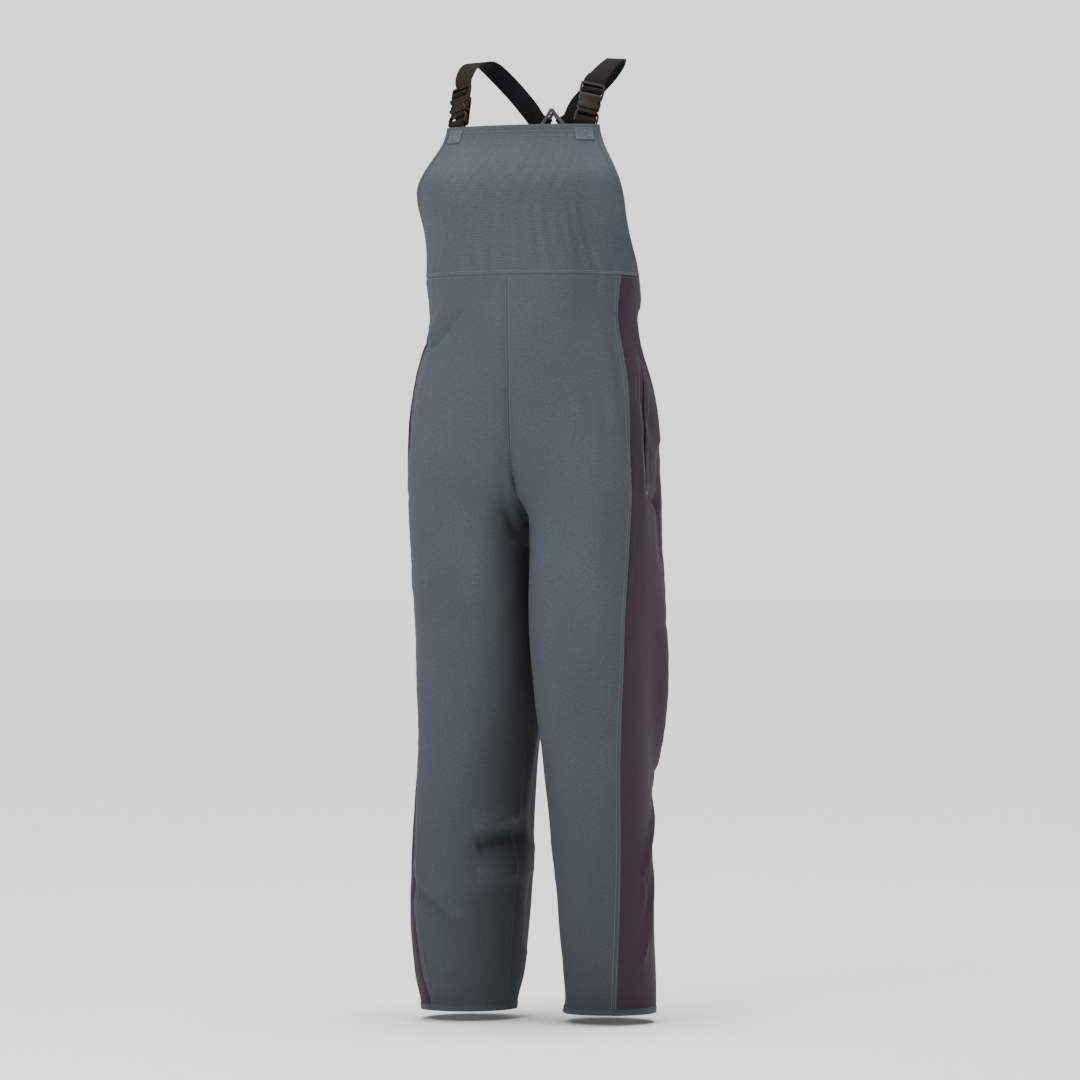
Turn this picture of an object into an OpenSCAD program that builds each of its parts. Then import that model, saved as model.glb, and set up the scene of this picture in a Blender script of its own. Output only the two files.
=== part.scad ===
// Bib-and-brace overalls: over-trousers of coated fabric with a bib, two
// side-release buckles and braces that meet in a triangular joiner behind.
// +Z is up, +X is the wearer's left and -Y is the front. Shapes are worked out
// as heights above the hems, and every point is then lowered by shoulder_h, so
// the origin lies midway between the shoulders, level with the braces' crests.

/* [Garment] */
// Height of the bib's top edge above the hems
bib_top_h = 1360; // [1345:1:1375]
// Height of the waist seam above the hems
waist_h = 1130; // [1120:1:1140]
// Half width of the garment at the chest
chest_half_w = 196; // [186:1:206]
// Half width of the garment at the waist seam
waist_half_w = 170; // [162:1:178]
// Half width of one leg at the shin
shin_half_w = 75; // [70:1:80]
// Half depth of one leg at the shin, which hangs wider than it is broad
shin_half_d = 113; // [100:1:120]
// Half width of one leg at its hem
hem_half_w = 71; // [66:1:76]
// Thickness of the coated fabric with its lining
fabric_t = 1.6; // [1.2:0.1:2.4]

/* [Edges] */
// Width of the binding round each armhole
binding_w = 7; // [5:0.5:9]
// Height of the hem band at each ankle
hem_band_h = 10; // [8:1:14]
// Height of the turned hem along the bib's top edge
top_hem_h = 12; // [8:1:16]
// Width of the sealing tape behind the seams
tape_w = 22; // [16:1:28]

/* [Braces] */
// Width of the brace webbing
web_w = 31; // [26:1:32]
// Thickness of the brace webbing
web_t = 1.5; // [1.2:0.1:1.6]
// Radius of the joiner's three bars
bar_r = 2.6; // [2.2:0.1:3]

/* [Buckles] */
// Width of the buckle
buckle_w = 44; // [42:1:46]
// Thickness of the buckle's housing
buckle_t = 11; // [10.5:0.1:12]

/* [Hips] */
// Height of the line that the legs swing about
hip_h = 860; // [855:1:865]
// Radius round that line at which the legs meet the seat
hip_r = 150; // [148:1:152]

/* [Hidden] */
$fn = 48;

// Height of the origin, level with the crests of the braces
shoulder_h = 1470;
// Middle of the line that the legs swing about, front to back
hip_y = 10;
// Gap between the legs' top edges and the seat's lower edges
hip_gap = 3;
// Height of the back's top edge, and half its width as an angle from the side
back_top_h = 1300;
// Air between layers that lie on each other
ply_gap = 0.3;
FRONT = 0;
SIDE = 1;
BACK = 2;

// Cross-sections of the left half from the bib down to the hem:
// height, centre x, centre y, half width, half depth, squareness and toe-out angle
SECTIONS = [
    [bib_top_h, 0, 12, 160, 104, 2.2, 0],
    [bib_top_h - 90, 0, 2, chest_half_w, 132, 2.2, 0],
    [waist_h + 70, 0, 0, 174, 130, 2.2, 0],
    [waist_h, 0, 0, waist_half_w, 127, 2.2, 0],
    [waist_h - 65, 0, 1, waist_half_w - 8, 129, 2.2, 0],
    [975, 9, 4, 169, 132, 2.3, 0],
    [900, 42, 7, 146, 134, 2.5, 0],
    [830, 78, 9, 112, 136, 2.6, 0],
    [770, 98, 10, 91, 136, 2.7, 0],
    [620, 97, 12, 91, 134, 2.7, 0],
    [500, 98, 13, 88, 129, 2.6, 4],
    [390, 100, 14, 82, 121, 2.4, 10],
    [270, 105, 13, shin_half_w + 2, shin_half_d + 2, 2.3, 14],
    [150, 110, 12, shin_half_w, shin_half_d, 2.3, 15],
    [60, 114, 14, shin_half_w - 2, shin_half_d - 15, 2.2, 15],
    [0, 116, 16, hem_half_w, 76, 2.1, 15]
];

// Side seams of the side panel, as angles round the section at heights:
// height, front seam, back seam (0 is the side, -90 the front, 90 the back)
SIDE_SEAMS = [
    [1300, -22, 48], [waist_h, -22, 48], [1045, -21, 44], [950, -20.5, 40],
    [860, -23.5, 37.5], [740, -30, 34.5], [620, -35.5, 32], [520, -43, 29.5],
    [400, -55, 27], [300, -61, 24.5], [200, -66, 22], [60, -74, 26],
    [0, -77, 30]
];

// Armhole edge from the bib's top corner, under the arm, to the back's top corner:
// height and angle round the section
ARMHOLE = [
    [bib_top_h, -40], [1315, -38], [1270, -34], [1235, -27], [1200, -17], [1165, -8], [waist_h, 2],
    [1100, 14], [1088, 30], [1097, 46], [1130, 57], [1180, 64], [1240, 69], [back_top_h, 73]
];
// Places along the armhole, in points from its start, of the waist seam and the back seam
at_waist = 6;
at_back_seam = 9;
at_end = 13;

function mix(a, b, t) = a + (b - a) * t;
function flip(p) = [-p[0], p[1], p[2]];

// Smooth curve through a table whose first column falls from row to row
function slope(table, i) =
    i == 0 || i == len(table) - 1 ? 0 * table[0]
    : (table[i + 1] - table[i - 1]) / (table[i - 1][0] - table[i + 1][0]);
function row_at(table, h, i = 0) =
    i >= len(table) - 2 || h >= table[i + 1][0] ? i : row_at(table, h, i + 1);
function table_at(table, h) =
    let (i = row_at(table, h), d = table[i][0] - table[i + 1][0], t = (table[i][0] - h) / d)
    (2 * t ^ 3 - 3 * t ^ 2 + 1) * table[i] + (t ^ 3 - 2 * t ^ 2 + t) * d * slope(table, i)
    + (3 * t ^ 2 - 2 * t ^ 3) * table[i + 1] + (t ^ 3 - t ^ 2) * d * slope(table, i + 1);

// Smooth curve through a list of points, at place t counted in points
function curve_at(list, t) =
    let (
        n = len(list) - 1, i = min(floor(t), n - 1), f = t - i,
        a = list[max(i - 1, 0)], b = list[i], c = list[i + 1], d = list[min(i + 2, n)]
    )
    0.5 * (2 * b + (c - a) * f + (2 * a - 5 * b + 4 * c - d) * f ^ 2 + (3 * b - a - 3 * c + d) * f ^ 3);

// Point of the left half's surface at height h and angle a, moved out by d
function rounded(v, n) = sign(v) * abs(v) ^ (2 / n);
function skin(h, a, d) =
    let (
        s = table_at(SECTIONS, h),
        x = (s[3] + d) * rounded(cos(a), s[5]),
        y = (s[4] + d) * rounded(sin(a), s[5])
    )
    [
        max(0, s[1]) + x * cos(s[6]) - y * sin(s[6]),
        s[2] + x * sin(s[6]) + y * cos(s[6]),
        h - shoulder_h
    ];

// Angle at which the section meets the middle of the garment: 90 down to the
// seat, growing to 180 at the crotch, below which each leg closes on itself
function middle_angle(h, d) =
    let (s = table_at(SECTIONS, h), c = max(0, s[1]) / (s[3] + d))
    c >= 1 ? 180 : acos(-(c ^ (s[5] / 2)));

// Angle across one panel, from u = 0 at its front seam to u = 1 at its back seam
function panel_angle(panel, h, u, d) =
    let (seams = table_at(SIDE_SEAMS, h), m = middle_angle(h, d))
    panel == FRONT ? mix(-m, seams[1], u)
    : panel == SIDE ? mix(seams[1], seams[2], u)
    : mix(seams[2], m, u);

// Height at which a panel's line u meets the hip cylinder of radius r
function hip_cut(panel, u, r, tries = 6, h = 740) =
    tries == 0 ? h
    : let (y = skin(h, panel_angle(panel, h, u, 0), 0)[1] - hip_y)
      hip_cut(panel, u, r, tries - 1, hip_h - sqrt(max(0, r ^ 2 - y ^ 2)));

// Closed thin solid between two grids of points with the same rows and columns
module shell(outer, inner) {
    rows = len(outer);
    cols = len(outer[0]);
    under = rows * cols;
    function tile(a, b, c, d) = [[a, b, c], [a, c, d]];
    function at(r, c) = r * cols + c;
    faces = concat(
        [for (r = [0:rows - 2], c = [0:cols - 2]) each
            tile(at(r, c), at(r, c + 1), at(r + 1, c + 1), at(r + 1, c))],
        [for (r = [0:rows - 2], c = [0:cols - 2]) each
            tile(under + at(r, c), under + at(r + 1, c), under + at(r + 1, c + 1), under + at(r, c + 1))],
        [for (c = [0:cols - 2]) each
            tile(at(0, c), under + at(0, c), under + at(0, c + 1), at(0, c + 1))],
        [for (c = [0:cols - 2]) each
            tile(at(rows - 1, c), at(rows - 1, c + 1), under + at(rows - 1, c + 1), under + at(rows - 1, c))],
        [for (r = [0:rows - 2]) each
            tile(at(r, 0), at(r + 1, 0), under + at(r + 1, 0), under + at(r, 0))],
        [for (r = [0:rows - 2]) each
            tile(at(r, cols - 1), under + at(r, cols - 1), under + at(r + 1, cols - 1), at(r + 1, cols - 1))]
    );
    polyhedron(points = concat([for (r = outer) each r], [for (r = inner) each r]), faces = faces);
}

// Shell between two depths of a surface that grid(d) lays out in rows
module cloth(grid, d0 = -fabric_t / 2, d1 = fabric_t / 2) {
    shell(grid(d1), grid(d0));
}

// Rows of a panel between its top edge, a list of [u, height], and its foot
function panel_rows(panel, top, foot, rows, d) = [
    for (r = [0:rows]) [
        for (i = [0:len(top) - 1])
            let (h = mix(top[i][1], foot[i], r / rows))
            skin(h, panel_angle(panel, h, top[i][0], d), d)
    ]
];

// Top edges of the panels above the hips, as [u, height] from front to back
function edge_u(panel, p) =
    let (seams = table_at(SIDE_SEAMS, p[0]))
    panel == SIDE ? (p[1] - seams[1]) / (seams[2] - seams[1]) : (p[1] - seams[2]) / (90 - seams[2]);
function armhole_edge(panel, from, to, steps) = [
    for (i = [0:steps])
        let (p = curve_at(ARMHOLE, mix(from, to, i / steps)))
        [max(0, min(1, edge_u(panel, p))), p[0]]
];
front_cols = 10;
side_cols = 8;
front_top = [for (i = [0:front_cols]) [i / front_cols, waist_h]];
under_arm = armhole_edge(SIDE, at_waist, at_back_seam, side_cols - 3);
side_top = concat([for (i = [0:2]) [under_arm[0][0] * i / 3, waist_h]], under_arm);
back_corner = edge_u(BACK, [back_top_h, 73]);
back_top = concat(
    armhole_edge(BACK, at_back_seam, at_end, 8),
    [for (i = [1:3]) [mix(back_corner, 1, i / 3), back_top_h]]
);
function top_of(panel) = panel == FRONT ? front_top : panel == SIDE ? side_top : back_top;

// One panel of the body, from its top edge down to the hip line
module body_panel(panel) {
    top = top_of(panel);
    foot = [for (p = top) hip_cut(panel, p[0], hip_r - hip_gap / 2)];
    cloth(function (d) panel_rows(panel, top, foot, 10, d));
}

// One panel of a leg, from the hip line down to the hem band
module leg_panel(panel) {
    cols = panel == SIDE ? 8 : 10;
    top = [for (i = [0:cols]) [i / cols, hip_cut(panel, i / cols, hip_r + hip_gap / 2)]];
    foot = [for (p = top) hem_band_h];
    cloth(function (d) panel_rows(panel, top, foot, 12, d));
}

module front_panel_upper() { color("#5d656c") body_panel(FRONT); }
module side_panel_upper() { color("#46363f") body_panel(SIDE); }
module back_panel_upper() { color("#5d656c") body_panel(BACK); }
module front_panel_lower() { color("#5d656c") leg_panel(FRONT); }
module side_panel_lower() { color("#46363f") leg_panel(SIDE); }
module back_panel_lower() { color("#5d656c") leg_panel(BACK); }

// Row straight across the front between the two armholes at place t along them
function bib_row(t, d, cols, rise = 0) =
    let (p = curve_at(ARMHOLE, t))
    [for (i = [0:cols])
        let (a = mix(-180 - p[1], p[1], i / cols)) skin(p[0] + rise, a, d)];

// Bib, from the waist seam up to its turned hem
hem_start = top_hem_h / 45;
module bib_front() {
    color("#5d656c") cloth(function (d) [for (r = [0:10]) bib_row(mix(hem_start, at_waist, r / 10), d, 18)]);
}

// Turned hem along the bib's top edge, a little thicker than the bib
module bib_top_hem() {
    color("#565e65")
        cloth(function (d) [for (t = [0, hem_start]) bib_row(t, d, 18)], -fabric_t, fabric_t);
}

// Hem along the back's top edge, folded over its outer face
module back_top_hem() {
    low = fabric_t / 2 + ply_gap;
    color("#565e65")
        cloth(
            function (d) [for (h = [back_top_h, back_top_h - top_hem_h])
                [for (i = [0:8]) skin(h, mix(74, 106, i / 8), d)]],
            low, low + 1
        );
}

// Binding round one armhole, set against the panels' edge along the surface
function armhole_offset(t, w) =
    let (
        p = curve_at(ARMHOLE, t), q = curve_at(ARMHOLE, t + 0.05), o = curve_at(ARMHOLE, t - 0.05),
        s = table_at(SECTIONS, p[0]), arc = s[3] * PI / 180,
        run = [q[0] - o[0], (q[1] - o[1]) * arc], n = [run[1], -run[0]] / norm(run)
    )
    [p[0] + n[0] * w, p[1] + n[1] * w / arc];
module armhole_binding() {
    steps = 52;
    inner_w = 0.8;
    color("#4c5258")
        cloth(
            function (d) [for (w = [inner_w + binding_w, inner_w])
                [for (i = [0:steps])
                    let (p = armhole_offset(mix(0.06, at_end - 0.06, i / steps), w))
                    skin(p[0], p[1], d)]],
            -fabric_t, fabric_t
        );
}

// Band round one ankle: a closed ring of rectangular section
module hem_band() {
    n = 40;
    rim = [[hem_band_h, 1], [0, 1], [0, -1], [hem_band_h, -1]];
    points = [for (i = [0:n - 1], c = rim) skin(c[0], i * 360 / n - 180, c[1] * fabric_t)];
    faces = [for (i = [0:n - 1], c = [0:3]) each
        let (a = i * 4 + c, b = i * 4 + (c + 1) % 4, e = ((i + 1) % n) * 4 + (c + 1) % 4,
             f = ((i + 1) % n) * 4 + c)
        [[a, e, b], [a, f, e]]];
    color("#4c5258") polyhedron(points = points, faces = faces);
}

// Sealing tapes behind the seams, as the depths of their two faces
tape_d0 = -fabric_t / 2 - 1.9;
tape_d1 = -fabric_t / 2 - 1.3;
module waist_seam_tape() {
    color("#3c4247")
        cloth(
            function (d) [for (h = [waist_h + tape_w / 2, waist_h - tape_w / 2])
                [for (i = [0:24]) skin(h, mix(-176, -4, i / 24), d)]],
            tape_d0, tape_d1
        );
}
// Tape along the middle seam from height top to low, across the garment's middle
function middle_tape(side, top, low, d) = [
    for (r = [0:8])
        let (h = mix(top, low, r / 8), m = middle_angle(h, d), spread = tape_w / 2 / 2.3)
        [for (i = [-2:2])
            let (p = skin(h, side * (m - abs(i) / 2 * spread), d)) side * i < 0 ? p : flip(p)]
];
module front_seam_tape() {
    color("#3c4247")
        cloth(function (d) middle_tape(-1, waist_h - tape_w, 880, d), tape_d0, tape_d1);
}
module back_seam_tape() {
    color("#3c4247")
        cloth(function (d) middle_tape(1, back_top_h - 60, 930, d), tape_d0, tape_d1);
}

// Facing behind the side access slit
slit_top_h = 1002;
slit_foot_h = 798;
module slit_facing() {
    color("#46363f")
        cloth(
            function (d) [for (r = [0:8])
                let (h = mix(slit_top_h + 12, slit_foot_h - 12, r / 8))
                [for (a = [-15, -10, -5, 0]) skin(h, a, d)]],
            tape_d0, tape_d1
        );
}

// Buckle frame: z runs up the brace from the socket's mouth, x is its width
mouth = [106.5, -54.8, 1384.5];
lean = 25;
splay = 3;
yaw = 24;
function turn_x(p, a) = [p[0], p[1] * cos(a) - p[2] * sin(a), p[1] * sin(a) + p[2] * cos(a)];
function turn_y(p, a) = [p[0] * cos(a) + p[2] * sin(a), p[1], p[2] * cos(a) - p[0] * sin(a)];
function turn_z(p, a) = [p[0] * cos(a) - p[1] * sin(a), p[0] * sin(a) + p[1] * cos(a), p[2]];
function buckle_dir(p) = turn_y(turn_x(turn_z(p, yaw), -lean), splay);
function buckle_pt(p) = mouth - [0, 0, shoulder_h] + buckle_dir(p);
module on_buckle() {
    translate(mouth - [0, 0, shoulder_h]) rotate([-lean, splay, 0]) rotate([0, 0, yaw]) children();
}

// Block of the given size, centred on x and y, standing on z
module block(w, t, z0, z1) {
    translate([-w / 2, -t / 2, z0]) cube([w, t, z1 - z0]);
}

// Socket: housing open at its mouth, side windows, and the ladder lock above
housing_h = 24;
lock_top = 45;
lock_t = 4;
cavity_w = buckle_w - 8;
cavity_t = buckle_t - 4;
window_z0 = 5;
window_z1 = 17;
slot_w = web_w + 2;
module socket() {
    color("#2f2723") on_buckle() difference() {
        union() {
            block(buckle_w - 4, buckle_t, 0, housing_h);
            block(buckle_w - 2, lock_t, housing_h - 1, lock_top);
            for (s = [-1, 1]) translate([s * (buckle_w / 2 - 2), 0, window_z1])
                cylinder(h = lock_top - window_z1 - 2, r = 2);
        }
        block(cavity_w, cavity_t, -1, housing_h - 3);
        block(buckle_w + 2, cavity_t - 0.6, window_z0, window_z1);
        block(slot_w, lock_t + 2, 25.5, 31.4);
        block(slot_w, lock_t + 2, 34.6, 41);
        translate([0, 0, 11]) rotate([90, 0, 0]) cylinder(h = buckle_t + 2, r = 4, center = true);
    }
}

// Plug: bar and slot for the tab, shoulder under the socket, and centre tongue
plug_foot = -21;
plug_bar_z = -17;
plug_bar_r = 2;
module plug() {
    color("#2f2723") on_buckle() {
        difference() {
            union() {
                block(buckle_w - 4, 6, -7, -0.4);
                for (s = [-1, 1]) translate([s * (slot_w / 2 + 2.2), 0, (plug_foot - 5) / 2 + 0.5])
                    cube([4, 5, -plug_foot - 5], center = true);
            }
            block(slot_w, 20, plug_foot - 1, -7);
        }
        translate([-slot_w / 2 - 3, 0, plug_bar_z]) rotate([0, 90, 0])
            cylinder(h = slot_w + 6, r = plug_bar_r);
        block(7, cavity_t - 1, -1, 18);
    }
}

// One spring arm of the plug: foot, shank and the barb that shows in the window
arm_foot_x = 12;
arm_z0 = 0.4;
module arm(side) {
    color("#38302b") on_buckle() mirror([side < 0 ? 1 : 0, 0, 0])
        translate([0, (cavity_t - 1.4) / 2, 0]) rotate([90, 0, 0]) linear_extrude(cavity_t - 1.4)
            polygon([
                [arm_foot_x - 3, arm_z0], [arm_foot_x + 2, arm_z0], [arm_foot_x + 2.4, 5.4],
                [cavity_w / 2 + 2.6, 5.6], [cavity_w / 2 + 3.2, 8], [cavity_w / 2 + 1, 14.5],
                [cavity_w / 2 - 2.4, 19.5], [cavity_w / 2 - 4.6, 19.5], [arm_foot_x - 0.6, 9]
            ]);
}

// Webbing tab sewn behind the bib, with its loop round the plug's bar
loop_r = plug_bar_r + ply_gap;
tab_leg = 30;
tab_return = 6;
module buckle_tab() {
    color("#26211f") on_buckle() translate([-web_w / 2, 0, plug_bar_z]) rotate([90, 0, 90])
        linear_extrude(web_w) {
            difference() {
                circle(loop_r + web_t);
                circle(loop_r);
                translate([-loop_r, -10]) square([2 * loop_r, 10]);
            }
            translate([loop_r, -tab_leg]) square([web_t, tab_leg]);
            translate([-loop_r - web_t, -tab_return]) square([web_t, tab_return]);
            translate([-loop_r, -tab_return]) square([2 * loop_r, web_t]);
        }
}

// Stitched patch on the bib's face over each tab
module tab_patch() {
    low = fabric_t + 2 * ply_gap;
    color("#666e75")
        cloth(
            function (d) [for (h = [bib_top_h - 10, bib_top_h - 26])
                [for (a = [-54, -50, -46]) skin(h, a, d)]],
            low, low + 0.8
        );
}

// Triangular joiner behind the shoulders, tilted with the wearer's back
joiner_mid = [0, 88, 1366];
joiner_tilt = 15;
joiner_half_w = 31;
joiner_half_h = 27;
joiner_corners = [
    [0, 0, joiner_half_h], [joiner_half_w, 0, -joiner_half_h], [-joiner_half_w, 0, -joiner_half_h]
];
function joiner_pt(p) = joiner_mid - [0, 0, shoulder_h] + turn_x(p, joiner_tilt);
module bar(a, b, r) {
    v = b - a;
    translate(a) rotate([0, acos(v[2] / norm(v)), atan2(v[1], v[0])]) cylinder(h = norm(v), r = r);
}
module back_joiner() {
    color("#6d7073") translate(joiner_mid - [0, 0, shoulder_h]) rotate([joiner_tilt, 0, 0])
        for (i = [0:2]) {
            bar(joiner_corners[i], joiner_corners[(i + 1) % 3], bar_r);
            translate(joiner_corners[i]) sphere(bar_r * 1.35);
        }
}

// Webbing swept along a route of [point, width direction], with rings_per rings a span
function unit(v) = v / norm(v);
module webbing(route, rings_per) {
    path = [for (r = route) r[0]];
    across = [for (r = route) r[1]];
    total = (len(route) - 1) * rings_per;
    rings = [
        for (i = [0:total])
            let (
                t = i / rings_per, p = curve_at(path, t),
                along = unit(curve_at(path, min(t + 0.05, len(path) - 1)) - curve_at(path, max(t - 0.05, 0))),
                w0 = curve_at(across, t), w = unit(w0 - (w0 * along) * along), n = cross(w, along)
            )
            [for (c = [[1, 1], [-1, 1], [-1, -1], [1, -1]])
                p + w * c[0] * web_w / 2 + n * c[1] * web_t / 2]
    ];
    last = total * 4;
    faces = concat(
        [[2, 1, 0], [3, 2, 0], [last, last + 1, last + 2], [last, last + 2, last + 3]],
        [for (i = [0:total - 1], c = [0:3]) each
            let (a = i * 4 + c, b = i * 4 + (c + 1) % 4)
            [[a, b + 4, a + 4], [a, b, b + 4]]]
    );
    polyhedron(points = [for (r = rings) each r], faces = faces);
}

// Route through the ladder lock, as depth and height in the buckle's frame,
// from the tail's free end to where the brace leaves the lock
LOCK_ROUTE = [
    [8.4, -22], [8.2, 0], [8.2, 20], [7.4, 24.6], [4.8, 26.6], [2.4, 27.4], [0, 28.5], [-2.6, 30.2], [-3.6, 33],
    [-2.7, 35.7], [0, 37.3], [2.2, 39], [3.4, 42], [3.6, 50]
];
// Route over the shoulder, as a point above the hems and its width direction
SHOULDER_ROUTE = [
    [[112, -18, 1440], [0.95, 0.3, 0]], [[116, 8, 1456], [0.98, 0.15, 0]],
    [[117, 36, 1467], [1, 0.1, 0]], [[113, 60, 1470], [0.97, 0.25, -0.1]],
    [[103, 76, 1463], [0.9, 0.15, -0.4]], [[90, 84, 1450], [0.8, 0.05, -0.6]],
    [[74, 88, 1433], [0.77, 0, -0.64]], [[58, 90, 1415], [0.75, 0, -0.66]],
    [[43, 90, 1397], [0.7, 0, -0.7]]
];
// Route round a joiner bar, as distance out from the bar and depth behind it
wrap_r = bar_r + 0.5 + web_t / 2;
BAR_ROUTE = [
    [16, wrap_r + 0.6], [7, wrap_r], [0, wrap_r], [-0.7 * wrap_r, 0.7 * wrap_r], [-wrap_r, 0],
    [-0.7 * wrap_r, -0.7 * wrap_r], [0, -wrap_r], [4, -wrap_r + 0.2], [10, -1.4], [20, 1.7], [27, 2.2]
];
side_run = unit(joiner_corners[1] - joiner_corners[0]);
side_out = [-side_run[2], 0, side_run[0]];
brace_loop_mid = joiner_corners[0] + side_run * 28;
brace_route = concat(
    [for (p = LOCK_ROUTE) [buckle_pt([0, p[0], p[1]]), buckle_dir([1, 0, 0])]],
    [for (r = SHOULDER_ROUTE) [r[0] - [0, 0, shoulder_h], r[1]]],
    [for (p = BAR_ROUTE)
        [joiner_pt(brace_loop_mid + side_out * p[0] + [0, p[1], 0]), turn_x(side_run, joiner_tilt)]]
);
module brace() {
    color("#26211f") webbing(brace_route, 2);
}

// Strap from the joiner's lower bar down to the back, sewn inside its top
back_strap_route = concat(
    [for (p = [[131, 1268], [129.4, 1280], [126.6, 1292], [121.4, 1303], [113.5, 1313], [106.5, 1320]])
        [[0, p[0] - 2, p[1] - shoulder_h], [1, 0, 0]]],
    [for (p = BAR_ROUTE) [joiner_pt([0, p[1], -joiner_half_h - p[0]]), [1, 0, 0]]]
);
module back_strap() {
    color("#26211f") webbing(back_strap_route, 2);
}

// Stitched patch on the back's face over the end of the back strap
module back_strap_patch() {
    low = fabric_t / 2 + ply_gap;
    color("#666e75")
        cloth(
            function (d) [for (h = [back_top_h - 16, back_top_h - 34])
                [for (a = [85, 90, 95]) skin(h, a, d)]],
            low, low + 0.8
        );
}

// The wearer's right is the mirror of the left
module right() { mirror([1, 0, 0]) children(); }

bib_front();
bib_top_hem();
waist_seam_tape();
front_seam_tape();
back_seam_tape();
back_top_hem();
front_panel_upper();  // front_body_left
right() front_panel_upper();  // front_body_right
side_panel_upper();  // side_body_left
right() side_panel_upper();  // side_body_right
back_panel_upper();  // back_body_left
right() back_panel_upper();  // back_body_right
armhole_binding();  // armhole_binding_left
right() armhole_binding();  // armhole_binding_right
slit_facing();  // slit_facing_left
right() slit_facing();  // slit_facing_right
front_panel_lower();  // front_leg_left
side_panel_lower();  // side_leg_left
back_panel_lower();  // back_leg_left
hem_band();  // hem_band_left
right() front_panel_lower();  // front_leg_right
right() side_panel_lower();  // side_leg_right
right() back_panel_lower();  // back_leg_right
right() hem_band();  // hem_band_right
buckle_tab();  // buckle_tab_left
right() buckle_tab();  // buckle_tab_right
tab_patch();  // tab_patch_left
right() tab_patch();  // tab_patch_right
plug();  // plug_left
right() plug();  // plug_right
arm(-1);  // inner_arm_left
arm(1);  // outer_arm_left
right() arm(-1);  // inner_arm_right
right() arm(1);  // outer_arm_right
socket();  // socket_left
right() socket();  // socket_right
brace();  // brace_left
right() brace();  // brace_right
back_joiner();
back_strap();
back_strap_patch();
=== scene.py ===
"""Looks of the bib-and-brace overalls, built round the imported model.

The cloth panels follow the same sections as the CAD model, are draped by one
cloth simulation, and get their folds, seams, bindings and stitches here. The
buckles, braces and joiner are moulded and woven pieces on the CAD's own places.
"""

import logging
import math
from dataclasses import dataclass, field
from enum import Enum
from typing import ClassVar

import bmesh
import bpy
import numpy as np
from mathutils.kdtree import KDTree
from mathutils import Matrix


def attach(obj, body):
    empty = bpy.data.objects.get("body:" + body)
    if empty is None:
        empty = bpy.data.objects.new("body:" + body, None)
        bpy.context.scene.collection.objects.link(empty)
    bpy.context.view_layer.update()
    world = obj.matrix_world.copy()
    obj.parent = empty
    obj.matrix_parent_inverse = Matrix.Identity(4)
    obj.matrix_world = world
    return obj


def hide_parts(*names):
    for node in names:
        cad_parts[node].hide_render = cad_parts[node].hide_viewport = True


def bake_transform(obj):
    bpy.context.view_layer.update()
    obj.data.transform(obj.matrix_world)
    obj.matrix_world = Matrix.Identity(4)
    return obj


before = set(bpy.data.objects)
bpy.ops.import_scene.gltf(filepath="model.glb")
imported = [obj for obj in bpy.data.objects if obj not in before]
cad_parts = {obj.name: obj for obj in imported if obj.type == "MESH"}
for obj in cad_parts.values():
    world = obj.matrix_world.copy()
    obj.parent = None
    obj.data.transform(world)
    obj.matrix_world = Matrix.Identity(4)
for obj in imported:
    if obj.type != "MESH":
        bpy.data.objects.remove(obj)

log = logging.getLogger("overalls")
MM = 0.001
SHOULDER_H = 1470.0

Values = float | np.ndarray
Route = list | tuple | np.ndarray
Line = tuple[np.ndarray, np.ndarray, np.ndarray]
Socket = bpy.types.NodeSocket


class Kind(Enum):
    """The three kinds of panel in each half of the garment."""

    FRONT = "front"
    SIDE = "side"
    BACK = "back"


class Wearer(Enum):
    """The wearer's side that a piece is on, with the sign of its X."""

    LEFT = 1
    RIGHT = -1

    @property
    def word(self) -> str:
        """The side's word in node and body names."""
        return self.name.lower()


# Numbers and curves


def mix(a: Values, b: Values, t: Values) -> Values:
    """Value between a and b at share t."""
    return a + (b - a) * t


def ramp(x: Values, low: float, high: float) -> Values:
    """Smooth step from 0 at low to 1 at high."""
    t = np.clip((np.asarray(x, float) - low) / (high - low), 0, 1)
    return t * t * (3 - 2 * t)


def unit(v: np.ndarray) -> np.ndarray:
    """Vectors scaled to length 1 along the last axis."""
    return v / np.maximum(np.linalg.norm(v, axis=-1, keepdims=True), 1e-12)


def to_frame(points: np.ndarray) -> np.ndarray:
    """Points above the hems in millimetres, as metres in the row frame."""
    return (np.asarray(points, float) - (0, 0, SHOULDER_H)) * MM


def curve_at(points: Route, t: Values) -> np.ndarray:
    """Points of a smooth curve through a list of points.

    Args:
        points: the list that the curve passes through.
        t: places along it, counted in points.

    Returns:
        One point for each place.
    """
    points = np.asarray(points, float)
    t = np.atleast_1d(np.asarray(t, float))
    last = len(points) - 1
    i = np.minimum(np.floor(t).astype(int), last - 1)
    f = (t - i)[:, None]
    a, b = points[np.maximum(i - 1, 0)], points[i]
    c, d = points[i + 1], points[np.minimum(i + 2, last)]
    return 0.5 * (2 * b + (c - a) * f + (2 * a - 5 * b + 4 * c - d) * f**2 + (3 * b - a - 3 * c + d) * f**3)


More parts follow.
